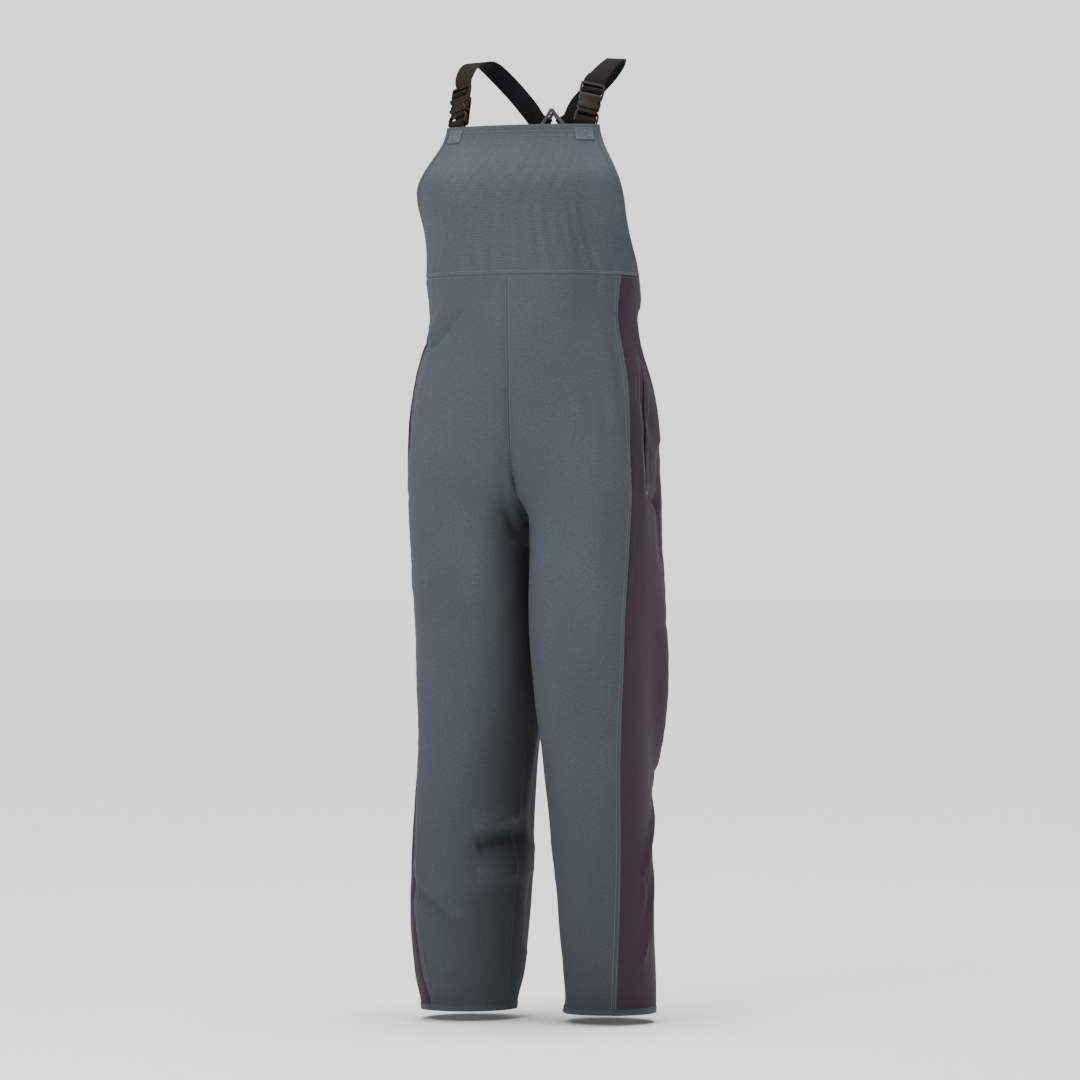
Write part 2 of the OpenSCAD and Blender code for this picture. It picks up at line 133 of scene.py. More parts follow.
class SmoothTable:
    """Smooth curve through rows whose first column falls from row to row."""

    def __init__(self, rows: list[list[float]]) -> None:
        """Keeps the rows and works out the slope at each."""
        self.rows = np.array(rows, float)
        self.slopes = np.zeros_like(self.rows)
        drop = self.rows[:-2, :1] - self.rows[2:, :1]
        self.slopes[1:-1] = (self.rows[2:] - self.rows[:-2]) / drop

    def at(self, h: Values) -> np.ndarray:
        """Rows at heights h.

        Args:
            h: one height or an array of them.

        Returns:
            An array of h's shape, with one more axis for the columns.
        """
        h = np.asarray(h, float)
        i = np.clip(np.searchsorted(-self.rows[:, 0], -h, side="left") - 1, 0, len(self.rows) - 2)
        top, low = self.rows[i], self.rows[i + 1]
        drop = (top[..., 0] - low[..., 0])[..., None]
        t = (top[..., :1] - h[..., None]) / drop
        return (
            (2 * t**3 - 3 * t**2 + 1) * top
            + (t**3 - 2 * t**2 + t) * drop * self.slopes[i]
            + (3 * t**2 - 2 * t**3) * low
            + (t**3 - t**2) * drop * self.slopes[i + 1]
        )


def distance_along(line: np.ndarray) -> np.ndarray:
    """Distance from a line's start to each of its points."""
    steps = np.linalg.norm(np.diff(line, axis=0), axis=1)
    return np.concatenate([[0], np.cumsum(steps)])


def upsample(count: int, factor: int) -> np.ndarray:
    """Matrix that turns count + 1 values into factor times as many, smoothly."""
    t = np.arange(count * factor + 1) / factor
    return np.column_stack([curve_at(np.eye(count + 1)[:, k : k + 1], t)[:, 0] for k in range(count + 1)])


# The garment's form


class GarmentForm:
    """The surface that the garment hangs on: the CAD model's own sections."""

    WAIST = 1130.0
    BACK_TOP = 1300.0
    AT_WAIST, AT_BACK_SEAM, AT_END = 6, 9, 13

    # height, centre x, centre y, half width, half depth, squareness and toe-out angle
    SECTIONS = [
        [1360, 0, 12, 160, 104, 2.2, 0], [1270, 0, 2, 196, 132, 2.2, 0],
        [1200, 0, 0, 174, 130, 2.2, 0], [1130, 0, 0, 170, 127, 2.2, 0],
        [1065, 0, 1, 162, 129, 2.2, 0], [975, 9, 4, 169, 132, 2.3, 0],
        [900, 42, 7, 146, 134, 2.5, 0], [830, 78, 9, 112, 136, 2.6, 0],
        [770, 98, 10, 91, 136, 2.7, 0], [620, 97, 12, 91, 134, 2.7, 0],
        [500, 98, 13, 88, 129, 2.6, 4], [390, 100, 14, 82, 121, 2.4, 10],
        [270, 105, 13, 77, 115, 2.3, 14], [150, 110, 12, 75, 113, 2.3, 15],
        [60, 114, 14, 73, 98, 2.2, 15], [0, 116, 16, 71, 76, 2.1, 15],
    ]
    # height, and the angles of the side panel's front and back seams
    SIDE_SEAMS = [
        [1300, -22, 48], [1130, -22, 48], [1045, -21, 44], [950, -20.5, 40],
        [860, -23.5, 37.5], [740, -30, 34.5], [620, -35.5, 32], [520, -43, 29.5],
        [400, -55, 27], [300, -61, 24.5], [200, -66, 22], [60, -74, 26],
        [0, -77, 30],
    ]
    # height and angle along the armhole, from the bib's corner to the back's
    ARMHOLE = [
        [1360, -40], [1315, -38], [1270, -34], [1235, -27], [1200, -17], [1165, -8], [1130, 2],
        [1100, 14], [1088, 30], [1097, 46], [1130, 57], [1180, 64], [1240, 69], [1300, 73],
    ]

    def __init__(self) -> None:
        """Prepares the tables and finds the height of the crotch."""
        self.sections = SmoothTable(self.SECTIONS)
        self.seams = SmoothTable(self.SIDE_SEAMS)
        low, high = 760.0, 830.0
        for _ in range(40):
            middle = (low + high) / 2
            s = self.sections.at(middle)
            low, high = (middle, high) if s[1] >= s[3] else (low, middle)
        self.crotch = low

    def skin(self, h: Values, a: Values, d: Values = 0.0) -> np.ndarray:
        """Points of the left half's surface in millimetres.

        Args:
            h: heights above the hems.
            a: angles round the section, 0 at the side and -90 in front.
            d: distance out from the surface.

        Returns:
            An array of points, with one more axis than the heights and angles have.
        """
        s = self.sections.at(h)
        a = np.radians(a)
        power = 2 / s[..., 5]
        x = (s[..., 3] + d) * np.sign(np.cos(a)) * np.abs(np.cos(a)) ** power
        y = (s[..., 4] + d) * np.sign(np.sin(a)) * np.abs(np.sin(a)) ** power
        toe = np.radians(s[..., 6])
        return np.stack(
            [
                np.maximum(0, s[..., 1]) + x * np.cos(toe) - y * np.sin(toe),
                s[..., 2] + x * np.sin(toe) + y * np.cos(toe),
                np.broadcast_to(h, x.shape).astype(float),
            ],
            axis=-1,
        )

    def middle_angle(self, h: Values) -> np.ndarray:
        """Angle at which a section meets the middle, growing to 180 at the crotch."""
        s = self.sections.at(h)
        c = np.clip(np.maximum(0, s[..., 1]) / s[..., 3], 0, 1)
        return np.degrees(np.arccos(-(c ** (s[..., 5] / 2))))

    def outward(self, h: Values, a: Values) -> np.ndarray:
        """Unit vectors out of the left half's surface at heights h and angles a."""
        across = self.skin(h, a + 0.5) - self.skin(h, a - 0.5)
        up = self.skin(h + 1, a) - self.skin(h - 1, a)
        return unit(np.cross(across, up))

    def panel_angle(self, kind: Kind, h: Values, u: Values, side: Wearer) -> np.ndarray:
        """Angle across a panel, from u = 0 at its front seam to 1 at its back seam."""
        seams, m = self.seams.at(h), self.middle_angle(h)
        front = seams[..., 1]
        if side is Wearer.RIGHT:
            front = self._pulled_forward(front, h)
        if kind is Kind.FRONT:
            return mix(-m, front, u)
        if kind is Kind.SIDE:
            return mix(front, seams[..., 2], u)
        return mix(seams[..., 2], m, u)

    @staticmethod
    def _pulled_forward(front: np.ndarray, h: np.ndarray) -> np.ndarray:
        """Angles of the wearer's right front seam, which sits farther forward at the hip."""
        thigh = 5 * ramp(h, 520, 640) * (1 - ramp(h, 1030, 1090))
        hip = 6 * np.exp(-(((h - 1034) / 24) ** 2))
        return front - thigh - hip


# Grids of cloth


@dataclass
class ClothGrid:
    """One cut panel as a grid of places, coarse for draping and fine for looks."""

    name: str
    form: GarmentForm
    side: Wearer
    rows: int
    cols: int

    def places(self, r: np.ndarray, s: np.ndarray) -> tuple[np.ndarray, np.ndarray]:
        """Heights and angles at rows r and columns s, both counted coarsely."""
        raise NotImplementedError

    def points(self, r: np.ndarray, s: np.ndarray) -> np.ndarray:
        """Points at rows r and columns s, in millimetres above the hems."""
        h, a = self.places(r, s)
        p = self.form.skin(h, a)
        p[..., 0] *= self.side.value
        return p

    def coarse(self) -> np.ndarray:
        """Points of the coarse grid."""
        return self.points(np.arange(self.rows + 1.0), np.arange(self.cols + 1.0))


@dataclass(frozen=True)
class Slit:
    """Opening down the outside of the thigh, to reach the clothes underneath.

    Attributes:
        route: its line from top to foot, as height and angle.
        gape: how far its rear lip stands back at the middle.
        lift: how far its lips stand off the wearer.
        tack: length of the bar tack at each end.
    """

    route: tuple[tuple[float, float], ...] = ((1002, 0), (950, -5), (900, -8), (850, -8), (798, -7))
    gape: float = 3.2
    lift: float = 2.2
    tack: float = 14.0

    @property
    def top(self) -> float:
        """Height of its upper end."""
        return self.route[0][0]

    @property
    def foot(self) -> float:
        """Height of its lower end."""
        return self.route[-1][0]

    def angle(self, h: np.ndarray) -> np.ndarray:
        """Angle of its line at heights h."""
        way = np.array(self.route[::-1])
        return np.interp(h, way[:, 0], way[:, 1])

    def open_share(self, h: np.ndarray) -> np.ndarray:
        """How far it's open at heights h, from 0 at its ends to 1."""
        t = (h - self.foot) / (self.top - self.foot)
        return np.sin(np.pi * np.clip(t, 0, 1)) ** 0.8


@dataclass
class LegPanel(ClothGrid):
    """A front, side or back panel, from its top edge down to the hem."""

    kind: Kind = Kind.FRONT
    rows_above: int = 28
    corner_cols: int = 3
    slit: Slit = Slit()

    @property
    def corner_col(self) -> int:
        """Column where the top edge turns between level and the armhole's curve."""
        return self.cols - self.corner_cols if self.kind is Kind.BACK else self.corner_cols

    def top_edge(self, s: np.ndarray) -> tuple[np.ndarray, np.ndarray]:
        """Share across the panel and height of its top edge at columns s."""
        f = self.form
        if self.kind is Kind.FRONT:
            return s / self.cols, np.full_like(s, f.WAIST)
        if self.kind is Kind.SIDE:
            corner = self._edge_share(np.array([[f.WAIST, 2.0]]))[0]
            flat = s <= self.corner_cols
            t = mix(f.AT_WAIST, f.AT_BACK_SEAM, (s - self.corner_cols) / (self.cols - self.corner_cols))
            curve = curve_at(f.ARMHOLE, np.clip(t, f.AT_WAIST, f.AT_BACK_SEAM))
            last = self._edge_share(curve_at(f.ARMHOLE, f.AT_BACK_SEAM))[0]
            beyond = mix(corner, 1, (self._edge_share(curve) - corner) / (last - corner))
            u = np.where(flat, corner * s / self.corner_cols, beyond)
            return np.clip(u, 0, 1), np.where(flat, f.WAIST, curve[:, 0])
        along = self.cols - self.corner_cols
        t = np.clip(mix(f.AT_BACK_SEAM, f.AT_END, s / along), f.AT_BACK_SEAM, f.AT_END)
        curve = curve_at(f.ARMHOLE, t)
        first = self._edge_share(curve_at(f.ARMHOLE, f.AT_BACK_SEAM))[0]
        share = (self._edge_share(curve) - first) / (1 - first)
        level = mix(share[-1], 1, (s - along) / self.corner_cols)
        u = np.where(s <= along, share, level)
        return np.clip(u, 0, 1), np.where(s <= along, curve[:, 0], f.BACK_TOP)

    def _edge_share(self, p: np.ndarray) -> np.ndarray:
        """Share across the panel of points given as height and angle."""
        seams = self.form.seams.at(p[:, 0])
        if self.kind is Kind.SIDE:
            return (p[:, 1] - seams[:, 1]) / (seams[:, 2] - seams[:, 1])
        return (p[:, 1] - seams[:, 2]) / (90 - seams[:, 2])

    def places(self, r: np.ndarray, s: np.ndarray) -> tuple[np.ndarray, np.ndarray]:
        """Heights and angles, with rows split at the crotch so that seams match."""
        u, top = self.top_edge(np.asarray(s, float))
        r = np.asarray(r, float)[:, None]
        above = mix(top[None, :], self.form.crotch, np.minimum(r / self.rows_above, 1))
        below = mix(self.form.crotch, 0, (r - self.rows_above) / (self.rows - self.rows_above))
        h = np.where(r <= self.rows_above, above, below + 0 * above)
        u = u[None, :] + 0 * h
        if self.kind is Kind.SIDE:
            u = self._follow_slit(h, u)
        return h, self.form.panel_angle(self.kind, h, u, self.side)

    def _follow_slit(self, h: np.ndarray, u: np.ndarray) -> np.ndarray:
        """Shares moved so that the corner's column runs down the slit."""
        corner = self._edge_share(np.array([[self.form.WAIST, 2.0]]))[0]
        wanted = self._edge_share(np.stack([h[:, 0], self.slit.angle(h[:, 0])], axis=-1))
        below = ramp(h[:, 0], self.slit.foot - 68, self.slit.foot)
        near = below * (1 - ramp(h[:, 0], self.slit.top, self.slit.top + 58))
        tent = np.minimum(u / corner, (1 - u) / (1 - corner))
        return u + ((wanted - corner) * near)[:, None] * np.clip(tent, 0, 1)


@dataclass
class BibPanel(ClothGrid):
    """The bib, one panel across the front above the waist seam."""

    front_cols: int = 16
    corner_cols: int = 3

    def places(self, r: np.ndarray, s: np.ndarray) -> tuple[np.ndarray, np.ndarray]:
        """Heights and angles, with columns that meet those of the panels below."""
        f = self.form
        half = self.front_cols + self.corner_cols
        beyond = np.abs(s - half)
        angle = np.where(
            beyond <= self.front_cols,
            mix(-90, -22, beyond / self.front_cols),
            mix(-22, 2, (beyond - self.front_cols) / self.corner_cols),
        )
        angle = np.where(s < half, -180 - angle, angle)
        edge = curve_at(f.ARMHOLE, mix(0, f.AT_WAIST, np.asarray(r, float) / self.rows))
        share = (angle + 182) / 184
        a = mix(-180 - edge[:, 1:2], edge[:, 1:2], share[None, :])
        return edge[:, 0:1] + 0 * a, a


class Drape:
    """Cloth simulation of the whole garment, sewn together as one coarse mesh."""

    FRAMES = 24
    WELD = 0.2  # points nearer than this are one, in millimetres
    CAP = 14.0  # most that a point may move, in millimetres

    def __init__(self, grids: list[ClothGrid]) -> None:
        """Sews the grids into one mesh by their shared points."""
        every = np.concatenate([g.coarse().reshape(-1, 3) for g in grids])
        tree = KDTree(len(every))
        for i, p in enumerate(every):
            tree.insert(p, i)
        tree.balance()
        first = np.array([min(i for _, i, _ in tree.find_range(p, self.WELD)) for p in every])
        kept = np.unique(first)
        ids = np.searchsorted(kept, first)
        self.points = every[kept]
        self.index: dict[str, np.ndarray] = {}
        self.faces: list[tuple[int, ...]] = []
        start = 0
        for grid in grids:
            shape = (grid.rows + 1, grid.cols + 1)
            mine = ids[start : start + shape[0] * shape[1]].reshape(shape)
            start += mine.size
            self.index[grid.name] = mine
            quads = np.stack([mine[:-1, :-1], mine[:-1, 1:], mine[1:, 1:], mine[1:, :-1]], axis=-1)
            self.faces += [tuple(q) for q in quads.reshape(-1, 4).tolist() if len(set(q)) == 4]

    def _hold(self) -> np.ndarray:
        """How firmly each point is held: firm where braces and hems carry it."""
        h = self.points[:, 2]
        top = np.maximum(ramp(h, 1330, 1358), ramp(h, 1275, 1298) * (self.points[:, 1] > 60))
        bib = ramp(h, 1100, 1180) * (self.points[:, 1] < 0)
        return np.clip(0.25 + 0.5 * bib + top, 0, 1)

    def run(self) -> dict[str, np.ndarray]:
        """Lets the cloth settle.

        Returns:
            For each grid's name, how far each coarse point moved, in millimetres.
        """
        moved = np.zeros_like(self.points)
        moved = self._simulate()
        reach = np.linalg.norm(moved, axis=1, keepdims=True)
        moved *= np.minimum(1, self.CAP / np.maximum(reach, 1e-9))
        log.info("drape moved the cloth up to %.1f mm", np.linalg.norm(moved, axis=1).max())
        return {name: moved[ids] for name, ids in self.index.items()}

    def _simulate(self) -> np.ndarray:
        """Runs Blender's cloth on the sewn mesh and returns each point's move."""
        mesh = bpy.data.meshes.new("drape")
        mesh.from_pydata(to_frame(self.points).tolist(), [], self.faces)
        mesh.validate()
        ob = bpy.data.objects.new("drape", mesh)
        bpy.context.collection.objects.link(ob)
        group = ob.vertex_groups.new(name="hold")
        for i, w in enumerate(self._hold()):
            group.add([i], float(w), "REPLACE")
        cloth = ob.modifiers.new("cloth", "CLOTH")
        s = cloth.settings
        s.quality = 6
        s.mass = 0.25
        s.tension_stiffness = s.compression_stiffness = 25
        s.shear_stiffness = 12
        s.bending_stiffness = 1.2
        s.air_damping = 4
        s.vertex_group_mass = "hold"
        s.pin_stiffness = 0.6
        s.shrink_min = -0.012
        cloth.collision_settings.use_collision = False
        cloth.point_cache.frame_start, cloth.point_cache.frame_end = 1, self.FRAMES
        scene = bpy.context.scene
        scene.frame_start, scene.frame_end = 1, self.FRAMES
        for number in range(1, self.FRAMES + 1):
            scene.frame_set(number)
        settled = ob.evaluated_get(bpy.context.evaluated_depsgraph_get()).to_mesh()
        co = np.empty(len(settled.vertices) * 3)
        settled.vertices.foreach_get("co", co)
        moved = co.reshape(-1, 3) / MM + (0, 0, SHOULDER_H) - self.points
        scene.frame_set(1)
        bpy.data.objects.remove(ob, do_unlink=True)
        bpy.data.meshes.remove(mesh)
        return moved


@dataclass(frozen=True)
class Fold:
    """One ridge or valley in the cloth, along a route on the surface.

    Attributes:
        route: points as height and angle.
        rise: height of the ridge in millimetres, negative for a valley.
        width: half width of the ridge in millimetres.
    """

    route: tuple[tuple[float, float], ...]
    rise: float
    width: float

    def at(self, form: GarmentForm, points: np.ndarray) -> np.ndarray:
        """Rise at points of the left half, fading towards the route's ends."""
        steps = 12 * (len(self.route) - 1)
        t = np.linspace(0, len(self.route) - 1, steps + 1)
        way = curve_at(self.route, t)
        line = form.skin(way[:, 0], way[:, 1])
        best = np.full(points.shape[:-1], 1e9)
        share = np.zeros(points.shape[:-1])
        for k in range(steps):
            a, b = line[k], line[k + 1]
            along = np.clip(((points - a) @ (b - a)) / max((b - a) @ (b - a), 1e-9), 0, 1)
            gap = np.linalg.norm(points - a - along[..., None] * (b - a), axis=-1)
            near = gap < best
            best = np.where(near, gap, best)
            share = np.where(near, (k + along) / steps, share)
        fade = np.sin(np.pi * np.clip(share, 0.02, 0.98)) ** 0.6
        return self.rise * fade * np.exp(-((best / self.width) ** 2))


FOLDS = {
    Wearer.RIGHT: (
        Fold(((1085, -66), (1050, -50), (1015, -36)), -6.0, 8),
        Fold(((1095, -54), (1060, -40), (1025, -28)), 5.5, 11),
        Fold(((276, -190), (270, -164), (256, -138)), -15.0, 15),
        Fold(((312, -184), (302, -160), (290, -132)), 8.0, 15),
        Fold(((222, -194), (216, -166), (214, -140)), 8.0, 17),
        Fold(((862, -100), (822, -122), (770, -150)), 5.0, 14),
        Fold(((842, -112), (800, -132), (742, -160)), -5.0, 10),
        Fold(((210, -58), (180, -84), (150, -112), (138, -140)), -4.5, 13),
        Fold(((232, -60), (204, -86), (176, -114), (160, -140)), 4.0, 16),
        Fold(((180, -56), (150, -84), (122, -110)), 3.0, 15),
        Fold(((640, -60), (560, -80), (470, -86)), 3.0, 26),
        Fold(((1250, -75), (1200, -66), (1150, -60)), 2.0, 26),
        Fold(((660, -24), (500, -28), (340, -32)), -13.0, 44),
        Fold(((440, 146), (330, 146), (250, 146)), -14.0, 32),
        Fold(((215, 146), (155, 146), (85, 146)), -9.0, 28),
        Fold(((1030, -26), (930, -28), (790, -30)), 11.0, 50),
    ),
    Wearer.LEFT: (
        Fold(((330, 10), (285, -6), (245, -22), (215, -34)), 7.0, 8),
        Fold(((300, 8), (262, -8), (222, -22), (196, -32)), -5.5, 8),
        Fold(((226, 0), (180, -14), (130, -28), (80, -40)), 7.0, 9),
        Fold(((196, 4), (150, -10), (110, -20)), -5.0, 9),
        Fold(((250, -20), (205, -30), (160, -36)), 4.5, 7),
        Fold(((1080, -56), (1010, -48), (930, -44)), -2.5, 24),
        Fold(((1290, -54), (1190, -48), (1110, -46), (1020, -46)), -7.5, 28),
        Fold(((1000, 2), (930, 10), (850, 16)), 4.0, 26),
        Fold(((802, -4), (788, 10), (780, 28)), -8.0, 11),
        Fold(((700, -70), (600, -62), (480, -66)), 3.0, 28),
        Fold(((850, -104), (800, -118), (740, -140)), -3.0, 14),
        Fold(((600, 20), (450, 24), (370, 24)), 14.0, 36),
        Fold(((332, 16), (288, 22), (244, 22)), -17.0, 21),
        Fold(((880, 14), (785, 20), (690, 20)), -14.0, 32),
        Fold(((210, -174), (80, -174), (2, -174)), -12.0, 30),
    ),
}


def ripple(points: np.ndarray) -> np.ndarray:
    """Soft unevenness of hanging cloth, in millimetres, the same every run."""
    x, y, z = np.moveaxis(points, -1, 0)
    return (
        0.9 * np.sin(x / 31 + 1.3 * np.sin(z / 88) + 0.7)
        + 0.7 * np.sin(z / 52 + y / 47 + 1.9 * np.sin(x / 76))
        + 0.35 * np.sin(x / 13 - z / 21 + y / 17)
    ) * 0.8


# Meshes


def normals_of(p: np.ndarray, outward: np.ndarray) -> np.ndarray:
    """Unit normals of a grid of points, on the side that outward points to."""
    n = unit(np.cross(np.gradient(p, axis=1), np.gradient(p, axis=0)))
    return n * np.sign(np.sum(n * outward, axis=-1, keepdims=True).mean())


@dataclass
class MeshData:
    """Vertices, faces and the cloth coordinates of one piece while it's built."""

    points: list[np.ndarray] = field(default_factory=list)
    faces: list[tuple[int, ...]] = field(default_factory=list)
    uvs: list[np.ndarray] = field(default_factory=list)
    marks: list[int] = field(default_factory=list)
    count: int = 0

    def add(
        self,
        points: np.ndarray,
        faces: list,
        uvs: np.ndarray | None = None,
        marks: list[int] | None = None,
    ) -> None:
        """Adds a part.

        Args:
            points: in millimetres above the hems.
            faces: lists of point numbers, counted from 0 in this part.
            uvs: cloth coordinates of the points, in millimetres.
            marks: number of each face's finish.
        """
        points = np.asarray(points, float).reshape(-1, 3)
        uvs = points[:, [0, 2]] if uvs is None else np.asarray(uvs, float).reshape(-1, 2)
        self.faces += [tuple(int(i) + self.count for i in f) for f in faces]
        self.marks += [0] * len(faces) if marks is None else list(marks)
        self.points.append(points)
        self.uvs.append(uvs)
        self.count += len(points)

    def build(self, name: str, sharp_deg: float = 50) -> bpy.types.Object:
        """Makes the piece, smooth but for edges sharper than sharp_deg."""
        used = np.zeros(self.count, bool)
        used[np.concatenate([np.array(f) for f in self.faces])] = True
        number = np.cumsum(used) - 1
        faces = [tuple(number[list(f)].tolist()) for f in self.faces]
        mesh = bpy.data.meshes.new(name)
        mesh.from_pydata(to_frame(np.concatenate(self.points)[used]).tolist(), [], faces)
        uv = np.concatenate(self.uvs)[used] * MM
        layer = mesh.uv_layers.new(name="cloth")
        corners = np.empty(len(mesh.loops), int)
        mesh.loops.foreach_get("vertex_index", corners)
        layer.data.foreach_set("uv", uv[corners].astype(np.float32).ravel())
        mesh.polygons.foreach_set("use_smooth", [True] * len(mesh.polygons))
        mesh.polygons.foreach_set("material_index", self.marks)
        mesh.update()
        mesh.set_sharp_from_angle(angle=math.radians(sharp_deg))
        ob = bpy.data.objects.new(name, mesh)
        bpy.context.collection.objects.link(ob)
        return ob


def shell(
    data: MeshData,
    outer: np.ndarray,
    inner: np.ndarray,
    uv: np.ndarray,
    gap: int | None = None,
    weld: np.ndarray | None = None,
) -> None:
    """Adds a closed thin solid between two grids of the same shape.

    Args:
        data: the piece that it's added to.
        outer: grid of points on the side that shows.
        inner: grid of points on the other side.
        uv: cloth coordinates of the grid's points.
        gap: column of quads that is left out, for a slit, if any.
        weld: for each row, whether the two sides of that column are one.
    """
    rows, cols = outer.shape[:2]
    total = rows * cols
    ids = np.arange(total).reshape(rows, cols)
    if gap is not None:
        ids[weld, gap + 1] = ids[weld, gap]
    quads = np.stack([ids[:-1, :-1], ids[:-1, 1:], ids[1:, 1:], ids[1:, :-1]], axis=-1)
    if gap is not None:
        quads = np.delete(quads, gap, axis=1)
    quads = quads.reshape(-1, 4)
    r, c = rows // 2, cols // 2
    across, down = outer[r, c] - outer[r, c - 1], outer[r, c] - outer[r - 1, c]
    if np.cross(across, down) @ (outer[r, c] - inner[r, c]) < 0:
        quads = quads[:, ::-1]
    starts, ends = quads.ravel(), np.roll(quads, -1, axis=1).ravel()
    rim = ~np.isin(starts * total + ends, ends * total + starts)
    a, b = starts[rim], ends[rim]
    walls = np.stack([b, a, a + total, b + total], axis=-1)
    faces = np.concatenate([quads, quads[:, ::-1] + total, walls])
    points = np.concatenate([outer.reshape(-1, 3), inner.reshape(-1, 3)])
    data.add(points, faces.tolist(), np.concatenate([uv.reshape(-1, 2)] * 2))


def sweep(
    data: MeshData,
    line: np.ndarray,
    across: np.ndarray,
    out: np.ndarray,
    profile: np.ndarray,
    closed: bool = False,
    two_sided: bool = False,
) -> None:
    """Adds a solid swept along a line.

    Args:
        data: the piece that it's added to.
        line: points of the route, in millimetres above the hems.
        across: unit vectors across the route, for the profile's first number.
        out: unit vectors out of the route, for the profile's second number.
        profile: a closed outline, in millimetres, or one outline per point.
        closed: True if the route ends where it starts.
        two_sided: True if the inner face has the second finish.
    """
    profile = np.asarray(profile, float)
    if profile.ndim == 2:
        profile = np.broadcast_to(profile, (len(line),) + profile.shape)
    rings = line[:, None] + across[:, None] * profile[..., :1] + out[:, None] * profile[..., 1:]
    n, k = rings.shape[:2]
    x, y = profile[0, :, 0], profile[0, :, 1]
    ahead = np.cross(across[0], out[0]) @ (line[1] - line[0])
    area = np.sum(x * np.roll(y, -1) - np.roll(x, -1) * y)
    turned = (ahead > 0) == (area > 0)
    inside = (y + np.roll(y, -1)) < -1e-6
    faces, marks = [], []
    for i in range(n if closed else n - 1):
        a, b = i * k, ((i + 1) % n) * k
        for j in range(k):
            quad = (a + j, a + (j + 1) % k, b + (j + 1) % k, b + j)
            faces.append(quad if turned else quad[::-1])
            marks.append(int(two_sided and inside[j]))
    if not closed:
        first, last = tuple(range(k)), tuple(range((n - 1) * k, n * k))
        faces += [first[::-1], last] if turned else [first, last[::-1]]
        marks += [0, 0]
    run = distance_along(line)
    girth = distance_along(profile[0])
    uv = np.stack(np.broadcast_arrays(girth[None, :], run[:, None]), axis=-1)
    data.add(rings.reshape(-1, 3), faces, uv, marks)


def rounded_outline(half_w: float, half_t: float, power: float = 5, count: int = 24) -> np.ndarray:
    """Outline of a rounded rectangle of the given half sizes."""
    a = np.linspace(0, 2 * np.pi, count, endpoint=False)
    c, s = np.cos(a), np.sin(a)
    x = half_w * np.sign(c) * np.abs(c) ** (2 / power)
    y = half_t * np.sign(s) * np.abs(s) ** (2 / power)
    return np.stack([x, y], axis=-1)


def resample(line: np.ndarray, pitch: float, *others: np.ndarray) -> list[np.ndarray]:
    """The line at an even pitch, with the vectors that go with its points."""
    run = distance_along(line)
    t = np.linspace(0, run[-1], max(2, int(round(run[-1] / pitch)) + 1))
    return [np.stack([np.interp(t, run, v[:, k]) for k in range(3)], axis=-1) for v in (line, *others)]


@dataclass(frozen=True)
class Thread:
    """A row of lockstitches."""

    SIDES: ClassVar[int] = 6
    pitch: float = 4.2
    length: float = 3.1
    radius: float = 0.42

    def sew(self, data: MeshData, line: np.ndarray, out: np.ndarray) -> None:
        """Adds stitches along a line that lies on the cloth.

        Args:
            data: the thread piece that they're added to.
            line: points of the seam, in millimetres above the hems.
            out: the cloth's normals at those points.
        """
        line, out = resample(line, self.pitch, out)
        out = unit(out)
        centre = (line[1:] + line[:-1]) / 2
        lift = unit(out[1:] + out[:-1])
        along = unit(line[1:] - line[:-1])
        across = unit(np.cross(along, lift))
        z = np.array([-0.5, -0.36, 0, 0.36, 0.5])
        girth = np.array([0.35, 0.9, 1.0, 0.9, 0.35])
        arch = np.array([-0.5, 0.1, 0.35, 0.1, -0.5])
        sides, rings = self.SIDES, len(z)
        a = np.arange(sides) * 2 * np.pi / sides
        ring_x = np.cos(a)[None, :] * girth[:, None] * self.radius
        ring_y = (np.sin(a)[None, :] * girth[:, None] + arch[:, None]) * self.radius
        ring_z = np.broadcast_to(z[:, None] * self.length, ring_x.shape)
        body = (
            centre[:, None, None]
            + across[:, None, None] * ring_x[None, ..., None]
            + lift[:, None, None] * ring_y[None, ..., None]
            + along[:, None, None] * ring_z[None, ..., None]
        )
        ids = np.arange(rings * sides).reshape(rings, sides)
        beside = np.roll(ids, -1, axis=1)
        tube = np.stack([ids[:-1], beside[:-1], beside[1:], ids[1:]], axis=-1).reshape(-1, 4).tolist()
        tube += [ids[0, ::-1].tolist(), ids[-1].tolist()]
        faces = [tuple(i + n * ids.size for i in f) for n in range(len(centre)) for f in tube]
        uv = np.tile(np.stack([ring_x, ring_z], axis=-1).reshape(-1, 2), (len(centre), 1))
        data.add(body.reshape(-1, 3), faces, uv)


# Finishes


